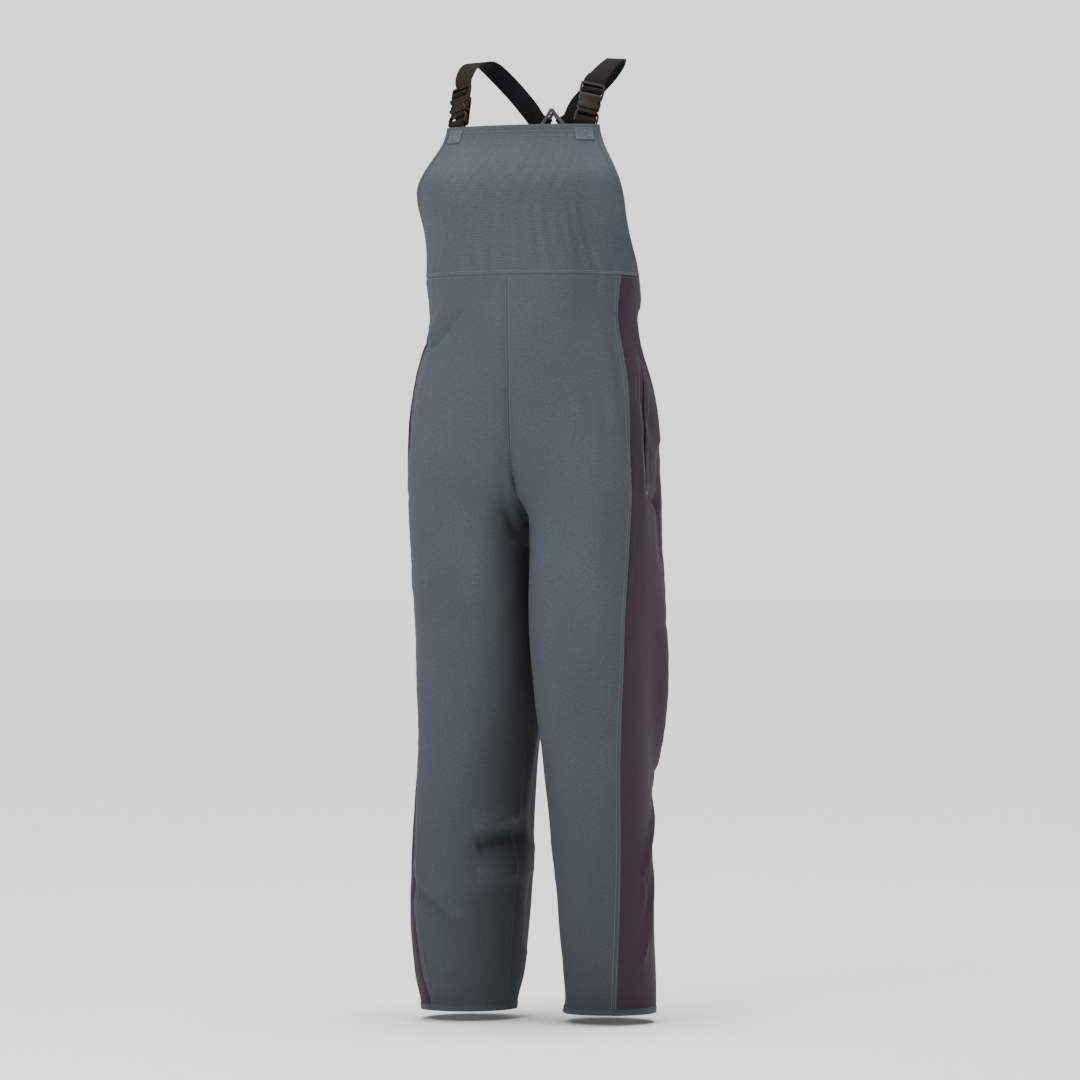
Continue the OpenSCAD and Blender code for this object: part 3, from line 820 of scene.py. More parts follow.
class NodeDesk:
    """Short hand for wiring one material's nodes."""

    def __init__(self, name: str) -> None:
        """Starts a material with a Principled shader."""
        self.material = bpy.data.materials.new(name)
        self.material.use_nodes = True
        self.tree = self.material.node_tree
        self.shader = self.tree.nodes["Principled BSDF"]

    def node(self, kind: str, inputs: dict | None = None, **settings) -> bpy.types.Node:
        """Adds a node, with inputs as values or sockets to link."""
        n = self.tree.nodes.new(kind)
        for key, value in settings.items():
            setattr(n, key, value)
        for key, value in (inputs or {}).items():
            self.put(n.inputs[key], value)
        return n

    def put(self, socket: Socket, value: Socket | float | tuple) -> None:
        """Sets an input, or links it if the value is an output."""
        if isinstance(value, Socket):
            self.tree.links.new(value, socket)
        else:
            socket.default_value = value

    def math(self, operation: str, a: Socket | float, b: Socket | float) -> Socket:
        """Output of a Math node."""
        return self.node("ShaderNodeMath", {0: a, 1: b}, operation=operation).outputs[0]

    def product(self, *values: Socket | float) -> Socket:
        """Output of Math nodes that multiply the values one after another."""
        total = values[0]
        for value in values[1:]:
            total = self.math("MULTIPLY", total, value)
        return total

    def noise(self, vector: Socket, scale: float, detail: float = 3, rough: float = 0.55) -> Socket:
        """Output of a noise texture, from about 0 to 1."""
        inputs = {"Vector": vector, "Scale": scale, "Detail": detail, "Roughness": rough}
        return self.node("ShaderNodeTexNoise", inputs).outputs["Fac"]

    def wave(self, vector: Socket, scale: float, direction: str, distort: float = 0.0) -> Socket:
        """Output of straight bands across one direction of the vector."""
        inputs = {"Vector": vector, "Scale": scale, "Distortion": distort, "Detail": 1.0, "Detail Scale": 2.0}
        return self.node("ShaderNodeTexWave", inputs, bands_direction=direction).outputs["Fac"]

    def between(self, value: Socket, low: float, high: float) -> Socket:
        """Value from 0 to 1 spread from low to high."""
        inputs = {"Value": value, "From Min": 0.25, "From Max": 0.75, "To Min": low, "To Max": high}
        return self.node("ShaderNodeMapRange", inputs).outputs["Result"]

    def tint(self, color: tuple, amount: Socket) -> Socket:
        """The colour made lighter or darker by an amount round 1."""
        n = self.node("ShaderNodeVectorMath", {0: color, 1: (1, 1, 1)}, operation="SCALE")
        self.put(n.inputs["Scale"], amount)
        return n.outputs["Vector"]

    def bump(self, height: Socket, strength: float, distance: float, below: Socket | None = None) -> Socket:
        """Normal from a height in units of distance, over another bump if given."""
        inputs = {"Height": height, "Strength": strength, "Distance": distance}
        if below is not None:
            inputs["Normal"] = below
        return self.node("ShaderNodeBump", inputs).outputs["Normal"]

    def cloth_uv(self) -> Socket:
        """The cloth coordinates, in metres across and down the panel."""
        return self.node("ShaderNodeUVMap", uv_map="cloth").outputs["UV"]

    def place(self) -> Socket:
        """The piece's own coordinates in metres."""
        return self.node("ShaderNodeTexCoord").outputs["Object"]


@dataclass(frozen=True)
class CoatedCloth:
    """Matt coated cloth: a fine weave under a coating, mottled and a little uneven, with painted shade
    towards the hems where ankle is set.
    """

    name: str
    color: tuple[float, float, float]
    ribs: float = 0.0
    mottle: float = 0.20
    soil: float = 0.10
    # ankle: how much painted shade darkens the colour at the hem, in place of light falling off low down
    ankle: float = 0.0
    rough: float = 0.78

    def make(self) -> bpy.types.Material:
        """Builds the material."""
        d = NodeDesk(self.name)
        uv = d.cloth_uv()
        broad = d.noise(d.place(), 5.5, 3)
        speck = d.noise(uv, 900, 2, 0.7)
        grain = d.noise(uv, 260, 4, 0.65)
        warp = d.wave(uv, 290, "X", 0.35)
        weft = d.wave(uv, 290, "Y", 0.35)
        weave = d.math("MAXIMUM", warp, weft)
        shade = d.product(
            d.between(broad, 1 - self.soil, 1 + self.soil),
            d.between(grain, 1 - self.mottle, 1 + self.mottle),
            d.between(speck, 0.86, 1.14),
            d.between(weave, 0.95, 1.03),
        )
        # Painted shade: the legs' colour gets darker from the thigh down to the hems
        if self.ankle:
            shade = d.product(shade, self._towards_ankle(d))
        height = d.math("ADD", d.product(weave, 0.45), grain)
        if self.ribs:
            lines = d.wave(uv, 78, "Y", 0.2)
            shade = d.product(shade, d.between(lines, 1 - self.ribs, 1 + self.ribs))
            height = d.math("ADD", height, d.product(lines, 0.8))
        d.put(d.shader.inputs["Base Color"], d.tint(self.color, shade))
        d.put(d.shader.inputs["Roughness"], d.between(grain, self.rough - 0.07, self.rough + 0.08))
        d.shader.inputs["Specular IOR Level"].default_value = 0.18
        d.shader.inputs["Sheen Weight"].default_value = 0.04
        d.shader.inputs["Sheen Roughness"].default_value = 0.5
        soft = d.bump(d.noise(uv, 38, 3), 0.35, 0.0012)
        d.put(d.shader.inputs["Normal"], d.bump(height, 0.5, 0.00035, soft))
        return d.material

    def _towards_ankle(self, d: NodeDesk) -> Socket:
        """Painted shade: the colour darkens from the thigh down to the hem, standing in for the light that
        falls off towards the floor.
        """
        z = d.node("ShaderNodeSeparateXYZ", {0: d.place()}).outputs["Z"]
        hem, thigh = -SHOULDER_H * MM, -0.72
        inputs = {"Value": z, "From Min": hem, "From Max": thigh, "To Min": 1 - self.ankle, "To Max": 1.0}
        return d.node("ShaderNodeMapRange", inputs, interpolation_type="SMOOTHSTEP").outputs["Result"]


@dataclass(frozen=True)
class RibbedWebbing:
    """Elastic webbing with lengthwise ribs and a crosswise pick."""

    name: str
    color: tuple[float, float, float]

    def make(self) -> bpy.types.Material:
        """Builds the material."""
        d = NodeDesk(self.name)
        uv = d.cloth_uv()
        ribs = d.wave(uv, 150, "X", 0.15)
        picks = d.wave(uv, 330, "Y", 0.3)
        fuzz = d.noise(uv, 1100, 2, 0.7)
        wear = d.noise(d.place(), 28, 3)
        shade = d.product(
            d.between(ribs, 0.72, 1.2),
            d.between(picks, 0.85, 1.12),
            d.between(fuzz, 0.8, 1.25),
            d.between(wear, 0.88, 1.15),
        )
        d.put(d.shader.inputs["Base Color"], d.tint(self.color, shade))
        d.put(d.shader.inputs["Roughness"], d.between(fuzz, 0.7, 0.9))
        d.shader.inputs["Sheen Weight"].default_value = 0.02
        d.shader.inputs["Specular IOR Level"].default_value = 0.12
        height = d.math("ADD", ribs, d.product(picks, 0.5))
        d.put(d.shader.inputs["Normal"], d.bump(height, 0.8, 0.0005))
        return d.material


@dataclass(frozen=True)
class Moulded:
    """Moulded plastic with a spark-eroded grain and faint handling marks."""

    name: str
    color: tuple[float, float, float]
    rough: float = 0.42

    def make(self) -> bpy.types.Material:
        """Builds the material."""
        d = NodeDesk(self.name)
        place = d.place()
        grain = d.noise(place, 1500, 2, 0.6)
        smear = d.noise(place, 70, 4, 0.6)
        stretched = d.node("ShaderNodeMapping", {"Vector": place, "Scale": (60, 60, 900)}).outputs[0]
        streaks = {"Vector": stretched, "Scale": 1.0, "Detail": 4.0}
        marks = d.node("ShaderNodeTexNoise", streaks).outputs["Fac"]
        shade = d.product(d.between(smear, 0.88, 1.14), d.between(grain, 0.92, 1.1))
        d.put(d.shader.inputs["Base Color"], d.tint(self.color, shade))
        handled = d.between(smear, self.rough - 0.06, self.rough + 0.06)
        d.put(d.shader.inputs["Roughness"], d.math("ADD", handled, d.between(marks, -0.04, 0.05)))
        d.shader.inputs["Specular IOR Level"].default_value = 0.3
        height = d.math("ADD", grain, d.product(marks, 0.5))
        d.put(d.shader.inputs["Normal"], d.bump(height, 0.3, 0.00012))
        return d.material


@dataclass(frozen=True)
class SewingThread:
    """Two-ply thread, twisted, with a soft sheen."""

    name: str
    color: tuple[float, float, float]

    def make(self) -> bpy.types.Material:
        """Builds the material."""
        d = NodeDesk(self.name)
        turned = d.node("ShaderNodeMapping", {"Vector": d.cloth_uv(), "Rotation": (0, 0, 0.7)}).outputs[0]
        ply = d.wave(turned, 900, "X")
        fuzz = d.noise(d.place(), 400, 2)
        shade = d.product(d.between(ply, 0.8, 1.15), d.between(fuzz, 0.9, 1.1))
        d.put(d.shader.inputs["Base Color"], d.tint(self.color, shade))
        d.put(d.shader.inputs["Roughness"], d.between(fuzz, 0.55, 0.7))
        d.shader.inputs["Sheen Weight"].default_value = 0.2
        d.put(d.shader.inputs["Normal"], d.bump(ply, 0.6, 0.0002))
        return d.material


@dataclass(frozen=True)
class StudioFloor:
    """Pale sweep with the faintest unevenness."""

    color: tuple[float, float, float] = (0.93, 0.93, 0.93)

    def make(self) -> bpy.types.Material:
        """Builds the material."""
        d = NodeDesk("studio_floor")
        shade = d.between(d.noise(d.place(), 1.5, 2), 0.995, 1.005)
        d.put(d.shader.inputs["Base Color"], d.tint(self.color, shade))
        d.shader.inputs["Roughness"].default_value = 0.9
        d.shader.inputs["Specular IOR Level"].default_value = 0.2
        return d.material


class Finish(Enum):
    """Every finish that the object uses."""

    # ankle=0.24 paints shade on the legs, darker towards the hems
    SLATE = CoatedCloth("slate_cloth", (0.063, 0.074, 0.088), ankle=0.24)
    BIB = CoatedCloth("bib_cloth", (0.063, 0.075, 0.088), ribs=0.04)
    PLUM = CoatedCloth("plum_cloth", (0.040, 0.021, 0.036))
    BINDING = CoatedCloth("binding_cloth", (0.060, 0.072, 0.086), mottle=0.22, rough=0.7)
    TAPE = CoatedCloth("sealing_tape", (0.035, 0.041, 0.048), mottle=0.05, rough=0.5)
    PATCH = CoatedCloth("patch_cloth", (0.082, 0.099, 0.112), mottle=0.3)
    WEBBING = RibbedWebbing("brace_webbing", (0.0112, 0.0090, 0.0070))
    WEBBING_INSIDE = RibbedWebbing("brace_webbing_inside", (0.0066, 0.0072, 0.0084))
    BUCKLE = Moulded("buckle_plastic", (0.0190, 0.0122, 0.0080))
    JOINER = Moulded("joiner_plastic", (0.085, 0.092, 0.102), rough=0.55)
    THREAD = SewingThread("grey_thread", (0.12, 0.142, 0.162))
    DARK_THREAD = SewingThread("dark_thread", (0.018, 0.020, 0.024))


class Paint:
    """Makes each finish once and gives it to pieces."""

    made: dict[Finish, bpy.types.Material] = {}

    @classmethod
    def on(cls, ob: bpy.types.Object, *finishes: Finish) -> bpy.types.Object:
        """Gives the piece its finishes, in the order of its faces' marks."""
        for finish in finishes:
            if finish not in cls.made:
                cls.made[finish] = finish.value.make()
            ob.data.materials.append(cls.made[finish])
        return ob


# Panels after draping


def seam_rise(gap: np.ndarray, along: np.ndarray) -> np.ndarray:
    """Height of cloth beside a stitched seam, with its small puckers.

    Args:
        gap: distance from the seam in millimetres.
        along: place along the seam in millimetres.
    """
    groove = 0.8 * np.exp(-(((gap - 6) / 5) ** 2)) - 1.0 * np.exp(-((gap / 2.2) ** 2))
    waves = np.sin(along / 4.6 + 1.6 * np.sin(along / 37)) + 0.6 * np.sin(along / 9.5)
    return groove + 0.35 * waves * np.exp(-((gap / 10) ** 2)) * (1 - np.exp(-((gap / 3) ** 2)))


def fold_rise(form: GarmentForm, points: np.ndarray) -> np.ndarray:
    """Rise of all the folds at points, on the side of the wearer where each is."""
    rise = np.zeros(points.shape[:-1])
    mirrored = points * np.where(points[..., :1] < 0, -1, 1) ** np.array([1, 0, 0])
    for side, folds in FOLDS.items():
        here = points[..., 0] * side.value > 0
        for fold in folds:
            if here.any():
                rise[here] += fold.at(form, mirrored[here])
    middle = ramp(np.abs(points[..., 0]), 3, 30)
    return rise * np.maximum(middle, 1 - ramp(points[..., 2], 740, 790))


class DressedPanel:
    """One panel after draping: a fine grid with its folds, seams and thickness."""

    FACTOR = 4
    HALF = 0.6  # half the cloth's thickness, in millimetres

    def __init__(self, grid: ClothGrid, moved: np.ndarray) -> None:
        """Works out the panel's fine grid.

        Args:
            grid: the panel's places.
            moved: how far the drape moved the coarse grid's points.
        """
        f = self.FACTOR
        self.grid = grid
        r = np.arange(grid.rows * f + 1) / f
        s = np.arange(grid.cols * f + 1) / f
        self.h, self.a = grid.places(r, s)
        base = grid.points(r, s)
        out = grid.form.outward(self.h, self.a) * (grid.side.value, 1, 1)
        across = np.linalg.norm(np.diff(base, axis=1), axis=-1)
        self.across = np.concatenate([np.zeros((len(r), 1)), np.cumsum(across, axis=1)], axis=1)
        down = np.linalg.norm(np.diff(base, axis=0), axis=-1)
        self.down = np.concatenate([np.zeros((1, len(s))), np.cumsum(down, axis=0)])
        rise = ripple(base) + fold_rise(grid.form, base) + self._seams(s)
        p = base + out * rise[..., None]
        if isinstance(grid, LegPanel) and grid.kind is not Kind.SIDE:
            middle = 0 if grid.kind is Kind.FRONT else -1
            p[: grid.rows_above * f + 1, middle, 0] = 0
        p += np.einsum("ij,jkc,lk->ilc", upsample(grid.rows, f), moved, upsample(grid.cols, f))
        self.p = p
        self.n = normals_of(p, out)
        middle = self.across[:, self.across.shape[1] // 2][:, None]
        self.uv = np.stack([self.across - middle, self.down], axis=-1)

    def _seams(self, s: np.ndarray) -> np.ndarray:
        """Rise beside the seams at the panel's edges."""
        grid = self.grid
        if isinstance(grid, BibPanel):
            beside = np.minimum(self.across, self.across[:, -1:] - self.across)
            rise = seam_rise(self.down[-1] - self.down, self.across - self.across[:, len(s) // 2][:, None])
            return rise * ramp(beside, 6, 18)
        sides = seam_rise(self.across, self.h) + seam_rise(self.across[:, -1:] - self.across, self.h)
        rise = sides * ramp(self.down, 0, 14)
        if grid.kind is Kind.BACK:
            return rise
        reach = np.ones_like(s)
        if grid.kind is Kind.SIDE:
            reach = 1 - ramp(s, grid.corner_cols - 1.2, grid.corner_cols - 0.4)
        return rise + seam_rise(self.down, self.across) * reach

    @property
    def size(self) -> tuple[float, float, float]:
        """Width, length and area of the flat cut, in metres and square metres."""
        width, length = self.across[:, -1], self.down[-1]
        cells = np.diff(self.down, axis=0)[:, :-1] * np.diff(self.across, axis=1)[:-1]
        return float(width.max()) * MM, float(length.max()) * MM, float(cells.sum()) * MM * MM

    @property
    def corner(self) -> int:
        """Fine column of the corner in a leg panel's top edge."""
        return self.grid.corner_col * self.FACTOR

    def rows_by_slit(self, beyond: float) -> np.ndarray:
        """Fine rows of the slit, and of the cloth up to a margin beyond its ends."""
        h = self.h[:, self.corner]
        slit = self.grid.slit
        return np.flatnonzero((h < slit.top + beyond) & (h > slit.foot - beyond))

    def line(self, edge: str, inset: float = 0.0, lo: int = 0, hi: int | None = None) -> Line:
        """A line on the panel beside one of its edges.

        Args:
            edge: top, foot, start or end.
            inset: distance in from the edge in millimetres.
            lo: first fine column or row of the line.
            hi: the one after the last.

        Returns:
            Its points, unit vectors towards the edge, and the normals.
        """
        if edge in ("start", "end"):
            p, n, gap = self.p, self.n, self.across
        else:
            p, n, gap = self.p.swapaxes(0, 1), self.n.swapaxes(0, 1), self.down.T
        if edge in ("end", "foot"):
            p, n, gap = p[:, ::-1], n[:, ::-1], gap[:, -1:] - gap[:, ::-1]
        p, n, gap = p[lo:hi], n[lo:hi], gap[lo:hi]
        points = np.array([[np.interp(inset, g, row[:, k]) for k in range(3)] for g, row in zip(gap, p)])
        normals = np.array([[np.interp(inset, g, row[:, k]) for k in range(3)] for g, row in zip(gap, n)])
        return points, unit(p[:, 0] - p[:, 3]), unit(normals)

    def nearest(self, h: float, a: float) -> tuple[int, int]:
        """Fine row and column nearest to a height and angle."""
        gap = np.abs(self.h - h) + 2 * np.abs(self.a - a)
        return tuple(int(i) for i in np.unravel_index(gap.argmin(), gap.shape))

    def add_to(self, data: MeshData) -> None:
        """Adds the panel's cloth, with its slit if it has one."""
        p, n, uv = self.p, self.n, self.uv
        gap = weld = None
        grid = self.grid
        if isinstance(grid, LegPanel) and grid.kind is Kind.SIDE:
            gap = self.corner
            p, n, uv, share = self._opened(gap)
            weld = share < 0.02
        shell(data, p + n * self.HALF, p - n * self.HALF, uv, gap, weld)

    def _opened(self, column: int) -> tuple[np.ndarray, ...]:
        """The grid with the slit's column doubled and its lips apart."""
        slit = self.grid.slit
        grids = self.p, self.n, self.uv, self.across
        p, n, uv, across = (np.insert(v, column, v[:, column], axis=1) for v in grids)
        share = slit.open_share(self.h[:, column])
        away = np.abs(across - across[:, column][:, None])
        behind = np.arange(p.shape[1])[None, :] > column
        back = unit(np.gradient(p, axis=1))
        reach = share[:, None] * np.exp(-((away / 26) ** 2))
        p = p + back * (reach * np.where(behind, slit.gape, -0.8))[..., None]
        p = p + n * (reach * np.where(behind, slit.lift, 0.35 * slit.lift))[..., None]
        return p, normals_of(p, n), uv, share


@dataclass(frozen=True)
class EdgeBand:
    """Strip of cloth folded over a raw edge and stitched through.

    Attributes:
        width: how far it reaches in from the edge.
        half: half its thickness.
        over: how far it stands past the edge.
        stitch: distance of its stitch row from the edge.
    """

    width: float
    half: float = 1.35
    over: float = 0.9
    stitch: float = 5.0

    def add_to(
        self,
        data: MeshData,
        thread: MeshData,
        line: np.ndarray,
        edge: np.ndarray,
        out: np.ndarray,
        closed: bool = False,
    ) -> None:
        """Adds the band and its stitches.

        Args:
            data: the piece that the band is added to.
            thread: the thread piece that its stitches are added to.
            line: points along the cloth's edge.
            edge: unit vectors out of the cloth past its edge.
            out: the cloth's normals.
            closed: True if the edge goes all the way round.
        """
        if not closed:
            line, edge, out = resample(line, 3.5, edge, out)
        edge, out = smoothed(edge, closed), smoothed(out, closed)
        along = unit(np.gradient(line, axis=0))
        edge = unit(edge - np.sum(edge * along, axis=-1, keepdims=True) * along)
        lift = np.cross(edge, along)
        lift *= np.sign(np.sum(lift * out))
        outline = rounded_outline((self.width + self.over) / 2, self.half, 4, 20)
        outline += ((self.over - self.width) / 2, 0)
        sweep(data, line, edge, lift, outline, closed)
        row = line - edge * self.stitch + lift * (self.half - 0.05)
        Thread().sew(thread, row, lift)


def smoothed(v: np.ndarray, closed: bool = False, reach: int = 3) -> np.ndarray:
    """Vectors averaged with their neighbours and scaled to length 1."""
    before, after = (v[-reach:], v[:reach]) if closed else (v[:1].repeat(reach, 0), v[-1:].repeat(reach, 0))
    pad = np.concatenate([before, v, after])
    kernel = np.ones(2 * reach + 1) / (2 * reach + 1)
    return unit(np.stack([np.convolve(pad[:, k], kernel, mode="valid") for k in range(3)], axis=-1))


def bar_tack(data: MeshData, centre: np.ndarray, along: np.ndarray, out: np.ndarray, length: float) -> None:
    """Adds a dense row of short threads across a seam's end."""
    pitch, half = 0.8, 1.6
    thread = Thread(pitch=2 * half, length=3.1, radius=0.45)
    along, out = unit(along), unit(out)
    across = np.cross(along, out)
    count = int(length / pitch)
    for k in range(count):
        mid = centre + along * (k - (count - 1) / 2) * pitch
        ends = np.array([mid - across * half, mid + across * half])
        thread.sew(data, ends, np.array([out, out]))


# Sub-assemblies


@dataclass
class Garment:
    """The cloth body: bib, front, side and back panels, with what's sewn to them."""

    form: GarmentForm
    hem: EdgeBand = EdgeBand(10, stitch=8.0)
    binding: EdgeBand = EdgeBand(8.5, half=1.5, stitch=7.0)
    top_hem: EdgeBand = EdgeBand(12, half=1.25, over=0.6, stitch=10.0)
    bend_start: tuple[float, float, float] = (0.0, 0.010, -0.690)
    bend_reach: float = 0.170
    panel_cols: ClassVar[dict[Kind, int]] = {Kind.FRONT: 16, Kind.SIDE: 10, Kind.BACK: 17}
    panel_rows: int = 84

    def build(self) -> None:
        """Drapes the panels and makes every piece of the garment."""
        grids: list[ClothGrid] = [BibPanel("bib", self.form, Wearer.LEFT, 18, 38)]
        for side in Wearer:
            for kind, cols in self.panel_cols.items():
                name = f"{kind.value}_{side.word}"
                grids.append(LegPanel(name, self.form, side, self.panel_rows, cols, kind))
        moved = Drape(grids).run()
        self.panels = {g.name: DressedPanel(g, moved[g.name]) for g in grids}
        self.make_bib()
        self.make_waist_tape()
        for side in Wearer:
            self.make_panels(side)
            self.make_binding(side)
            self.make_hem(side)
            self.make_slit_facing(side)
            self.make_patch(side)
        self.make_back()

    def bend(self, ob: bpy.types.Object) -> None:
        """Bakes the piece's transform into its mesh."""
        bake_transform(ob)

    def make_bib(self) -> None:
        """Makes the bib, its top hem and its stitches."""
        bib = self.panels["bib"]
        cloth, hem, thread = MeshData(), MeshData(), MeshData()
        bib.add_to(cloth)
        self.top_hem.add_to(hem, thread, *bib.line("top"))
        for inset in (3.2, 5.6):
            sew_on(thread, bib.line("foot", inset))
        ob = finished("cloth_bib", cloth, "root", ["bib_front"], "slate_cloth", Finish.BIB)
        top = finished("bib_top_fold", hem, "root", ["bib_top_hem"], "slate_cloth", Finish.BIB)
        sewn = finished("bib_stitches", thread, "root", [], "slate_cloth", Finish.THREAD)

    def make_waist_tape(self) -> None:
        """Makes the sealing tape behind the waist seam."""
        tape = MeshData()
        bib = self.panels["bib"]
        inner_strip(tape, bib, slice(-4, None), slice(14, -14))
        for side in Wearer:
            inner_strip(tape, self.panels[f"front_{side.word}"], slice(0, 4), slice(0, -2))
        finished("waist_tape", tape, "root", ["waist_seam_tape"], "tape", Finish.TAPE)

    def make_panels(self, side: Wearer) -> None:
        """Makes one half's front, side and back panels and their stitches."""
        finishes = {Kind.FRONT: Finish.SLATE, Kind.SIDE: Finish.PLUM, Kind.BACK: Finish.SLATE}
        for kind, finish in finishes.items():
            panel = self.panels[f"{kind.value}_{side.word}"]
            cloth, thread = MeshData(), MeshData()
            panel.add_to(cloth)
            for row in self.stitch_rows(panel):
                sew_on(thread, row)
            slot = "plum_cloth" if kind is Kind.SIDE else "slate_cloth"
            nodes = [f"{kind.value}_body_{side.word}", f"{kind.value}_leg_{side.word}"]
            ob = finished(f"cloth_{kind.value}_{side.word}", cloth, None, nodes, slot, finish)
            sewn = finished(f"{kind.value}_stitches_{side.word}", thread, None, [], slot, Finish.THREAD)
            self.bend(ob)
            self.bend(sewn)

    @staticmethod
    def stitch_rows(panel: DressedPanel) -> list[Line]:
        """The lines that a leg panel's seams are topstitched along."""
        grid = panel.grid
        if grid.kind is Kind.SIDE:
            return [panel.line("top", 2.8, 0, panel.corner)]
        if grid.kind is Kind.BACK:
            return [panel.line("start", 2.6, 4), panel.line("end", 2.6, 4)]
        crotch = None if grid.side is Wearer.LEFT else grid.rows_above * panel.FACTOR
        inner = panel.line("start", 2.6, 0, crotch)
        return [panel.line("end", 2.6), panel.line("end", 8.2), panel.line("top", 2.8), inner]

    def make_binding(self, side: Wearer) -> None:
        """Makes the binding round one armhole."""
        bib = self.panels["bib"].line("end" if side is Wearer.LEFT else "start")
        under, behind = self.panels[f"side_{side.word}"], self.panels[f"back_{side.word}"]
        parts = bib, under.line("top", 0, under.corner + 1), behind.line("top", 0, 1, behind.corner + 1)
        line, away, out = (np.concatenate(group) for group in zip(*parts))
        band, thread = MeshData(), MeshData()
        self.binding.add_to(band, thread, line, away, out)
        word = side.word
        finished(f"binding_{word}", band, "root", [f"armhole_binding_{word}"], "binding", Finish.BINDING)
        finished(f"binding_stitches_{word}", thread, "root", [], "binding", Finish.DARK_THREAD)

    def make_hem(self, side: Wearer) -> None:
        """Makes the band round one ankle."""
        word, body = side.word, f"leg_{side.word}"
        parts = [self.panels[f"{kind.value}_{word}"].line("foot") for kind in Kind]
        line, away, out = (np.concatenate([q[:-1] for q in group]) for group in zip(*parts))
        band, thread = MeshData(), MeshData()
        self.hem.add_to(band, thread, line, away, out, closed=True)
        finished(f"ankle_band_{word}", band, body, [f"hem_band_{word}"], "binding", Finish.BINDING)
        finished(f"ankle_stitches_{word}", thread, body, [], "binding", Finish.DARK_THREAD)

    def make_slit_facing(self, side: Wearer) -> None:
        """Makes the facing behind the slit, its stitch lines and bar tacks."""
        panel = self.panels[f"side_{side.word}"]
        column, slit, word = panel.corner, panel.grid.slit, side.word
        facing, thread, dark = MeshData(), MeshData(), MeshData()
        rows = panel.rows_by_slit(14)
        inner_strip(facing, panel, slice(rows[0], rows[-1]), slice(column - 6, column + 9), depth=1.6)
        sewn = panel.rows_by_slit(4)
        for offset, lift in ((-3, 1.2), (4, 2.0)):
            p, n = panel.p[sewn, column + offset], panel.n[sewn, column + offset]
            Thread().sew(thread, p + n * lift, n)
        ends = panel.rows_by_slit(0)[[0, -1]]
        for row, data in zip(ends, (dark, thread)):
            p, n = panel.p[row], panel.n[row, column]
            bar_tack(data, p[column] + n * 0.9, p[column + 2] - p[column - 2], n, slit.tack)
        nodes = [f"slit_facing_{word}"]
        self.bend(finished(f"slit_back_{word}", facing, None, nodes, "plum_cloth", Finish.PLUM))
        self.bend(finished(f"slit_stitches_{word}", thread, None, [], "plum_cloth", Finish.THREAD))
        self.bend(finished(f"slit_tack_{word}", dark, None, [], "plum_cloth", Finish.DARK_THREAD))

    def make_patch(self, side: Wearer) -> None:
        """Makes the patch over one tab's end, at the bib's corner, with its stitches."""
        bib = self.panels["bib"]
        row, column = bib.nearest(1342, -90 + 38 * side.value)
        rows, cols = slice(2, row + 2), slice(column - 7, column + 8)
        p, n, uv = bib.p[rows, cols], bib.n[rows, cols], bib.uv[rows, cols]
        patch, thread = MeshData(), MeshData()
        shell(patch, p + n * 1.9, p + n * 0.9, uv)
        box_stitch(thread, p + n * 1.9, n)
        word = side.word
        finished(f"corner_patch_{word}", patch, "root", [f"tab_patch_{word}"], "slate_cloth", Finish.PATCH)
        finished(f"corner_stitches_{word}", thread, "root", [], "slate_cloth", Finish.THREAD)

    def make_back(self) -> None:
        """Makes the top fold, the strap patch and the tapes at the middle."""
        left, right = self.panels["back_left"], self.panels["back_right"]
        fold, patch, thread = MeshData(), MeshData(), MeshData()
        ends = right.line("top", 0, right.corner), left.line("top", 0, left.corner)
        line, away, out = (np.concatenate([a, b[-2::-1]]) for a, b in zip(*ends))
        self.top_hem.add_to(fold, thread, line, away, out)
        row, _ = left.nearest(1275, 90)
        rows = slice(row - 3, row + 3)
        pairs = (right.p, left.p), (right.n, left.n)
        p, n = (np.concatenate([a[rows, -6:], b[rows, -2:-7:-1]], axis=1) for a, b in pairs)
        uv = p[..., [0, 2]]
        shell(patch, p + n * 1.75, p + n * 0.45, uv)
        box_stitch(thread, p + n * 1.75, n)
        finished("back_fold", fold, "root", ["back_top_hem"], "slate_cloth", Finish.SLATE)
        finished("back_patch", patch, "root", ["back_strap_patch"], "slate_cloth", Finish.PATCH)
        finished("back_stitches", thread, "root", [], "slate_cloth", Finish.THREAD)
        for kind, edge in ((Kind.BACK, slice(-4, None)), (Kind.FRONT, slice(0, 4))):
            tape, name = MeshData(), kind.value
            for side in Wearer:
                inner_strip(tape, self.panels[f"{name}_{side.word}"], slice(8, 72), edge)
            finished(f"{name}_tape", tape, "root", [f"{name}_seam_tape"], "tape", Finish.TAPE)


def inner_strip(data: MeshData, panel: DressedPanel, rows: slice, cols: slice, depth: float = 0.15) -> None:
    """Adds a thin strip on the inner side of part of a panel."""
    p, n, uv = panel.p[rows, cols], panel.n[rows, cols], panel.uv[rows, cols]
    top = panel.HALF + depth
    shell(data, p - n * top, p - n * (top + 0.4), uv)


def sew_on(data: MeshData, row: Line) -> None:
    """Adds stitches on the outside of the cloth, along a panel's line."""
    points, _, out = row
    Thread().sew(data, points + out * DressedPanel.HALF, out)


def box_stitch(data: MeshData, p: np.ndarray, n: np.ndarray) -> None:
    """Sews round a patch just inside its edges, and across both ways."""
    stitch = Thread(pitch=3.4, length=2.6)
    middle = p.mean(axis=(0, 1))
    every = slice(None)
    routes = [(0, every), (every, -1), (-1, every), (every, 0)]
    rows, cols = (np.rint(np.linspace(0, last - 1, 8)).astype(int) for last in p.shape[:2])
    routes += [(rows, cols), (rows, cols[::-1])]
    for route in routes:
        stitch.sew(data, mix(p[route], middle, 0.1), n[route])


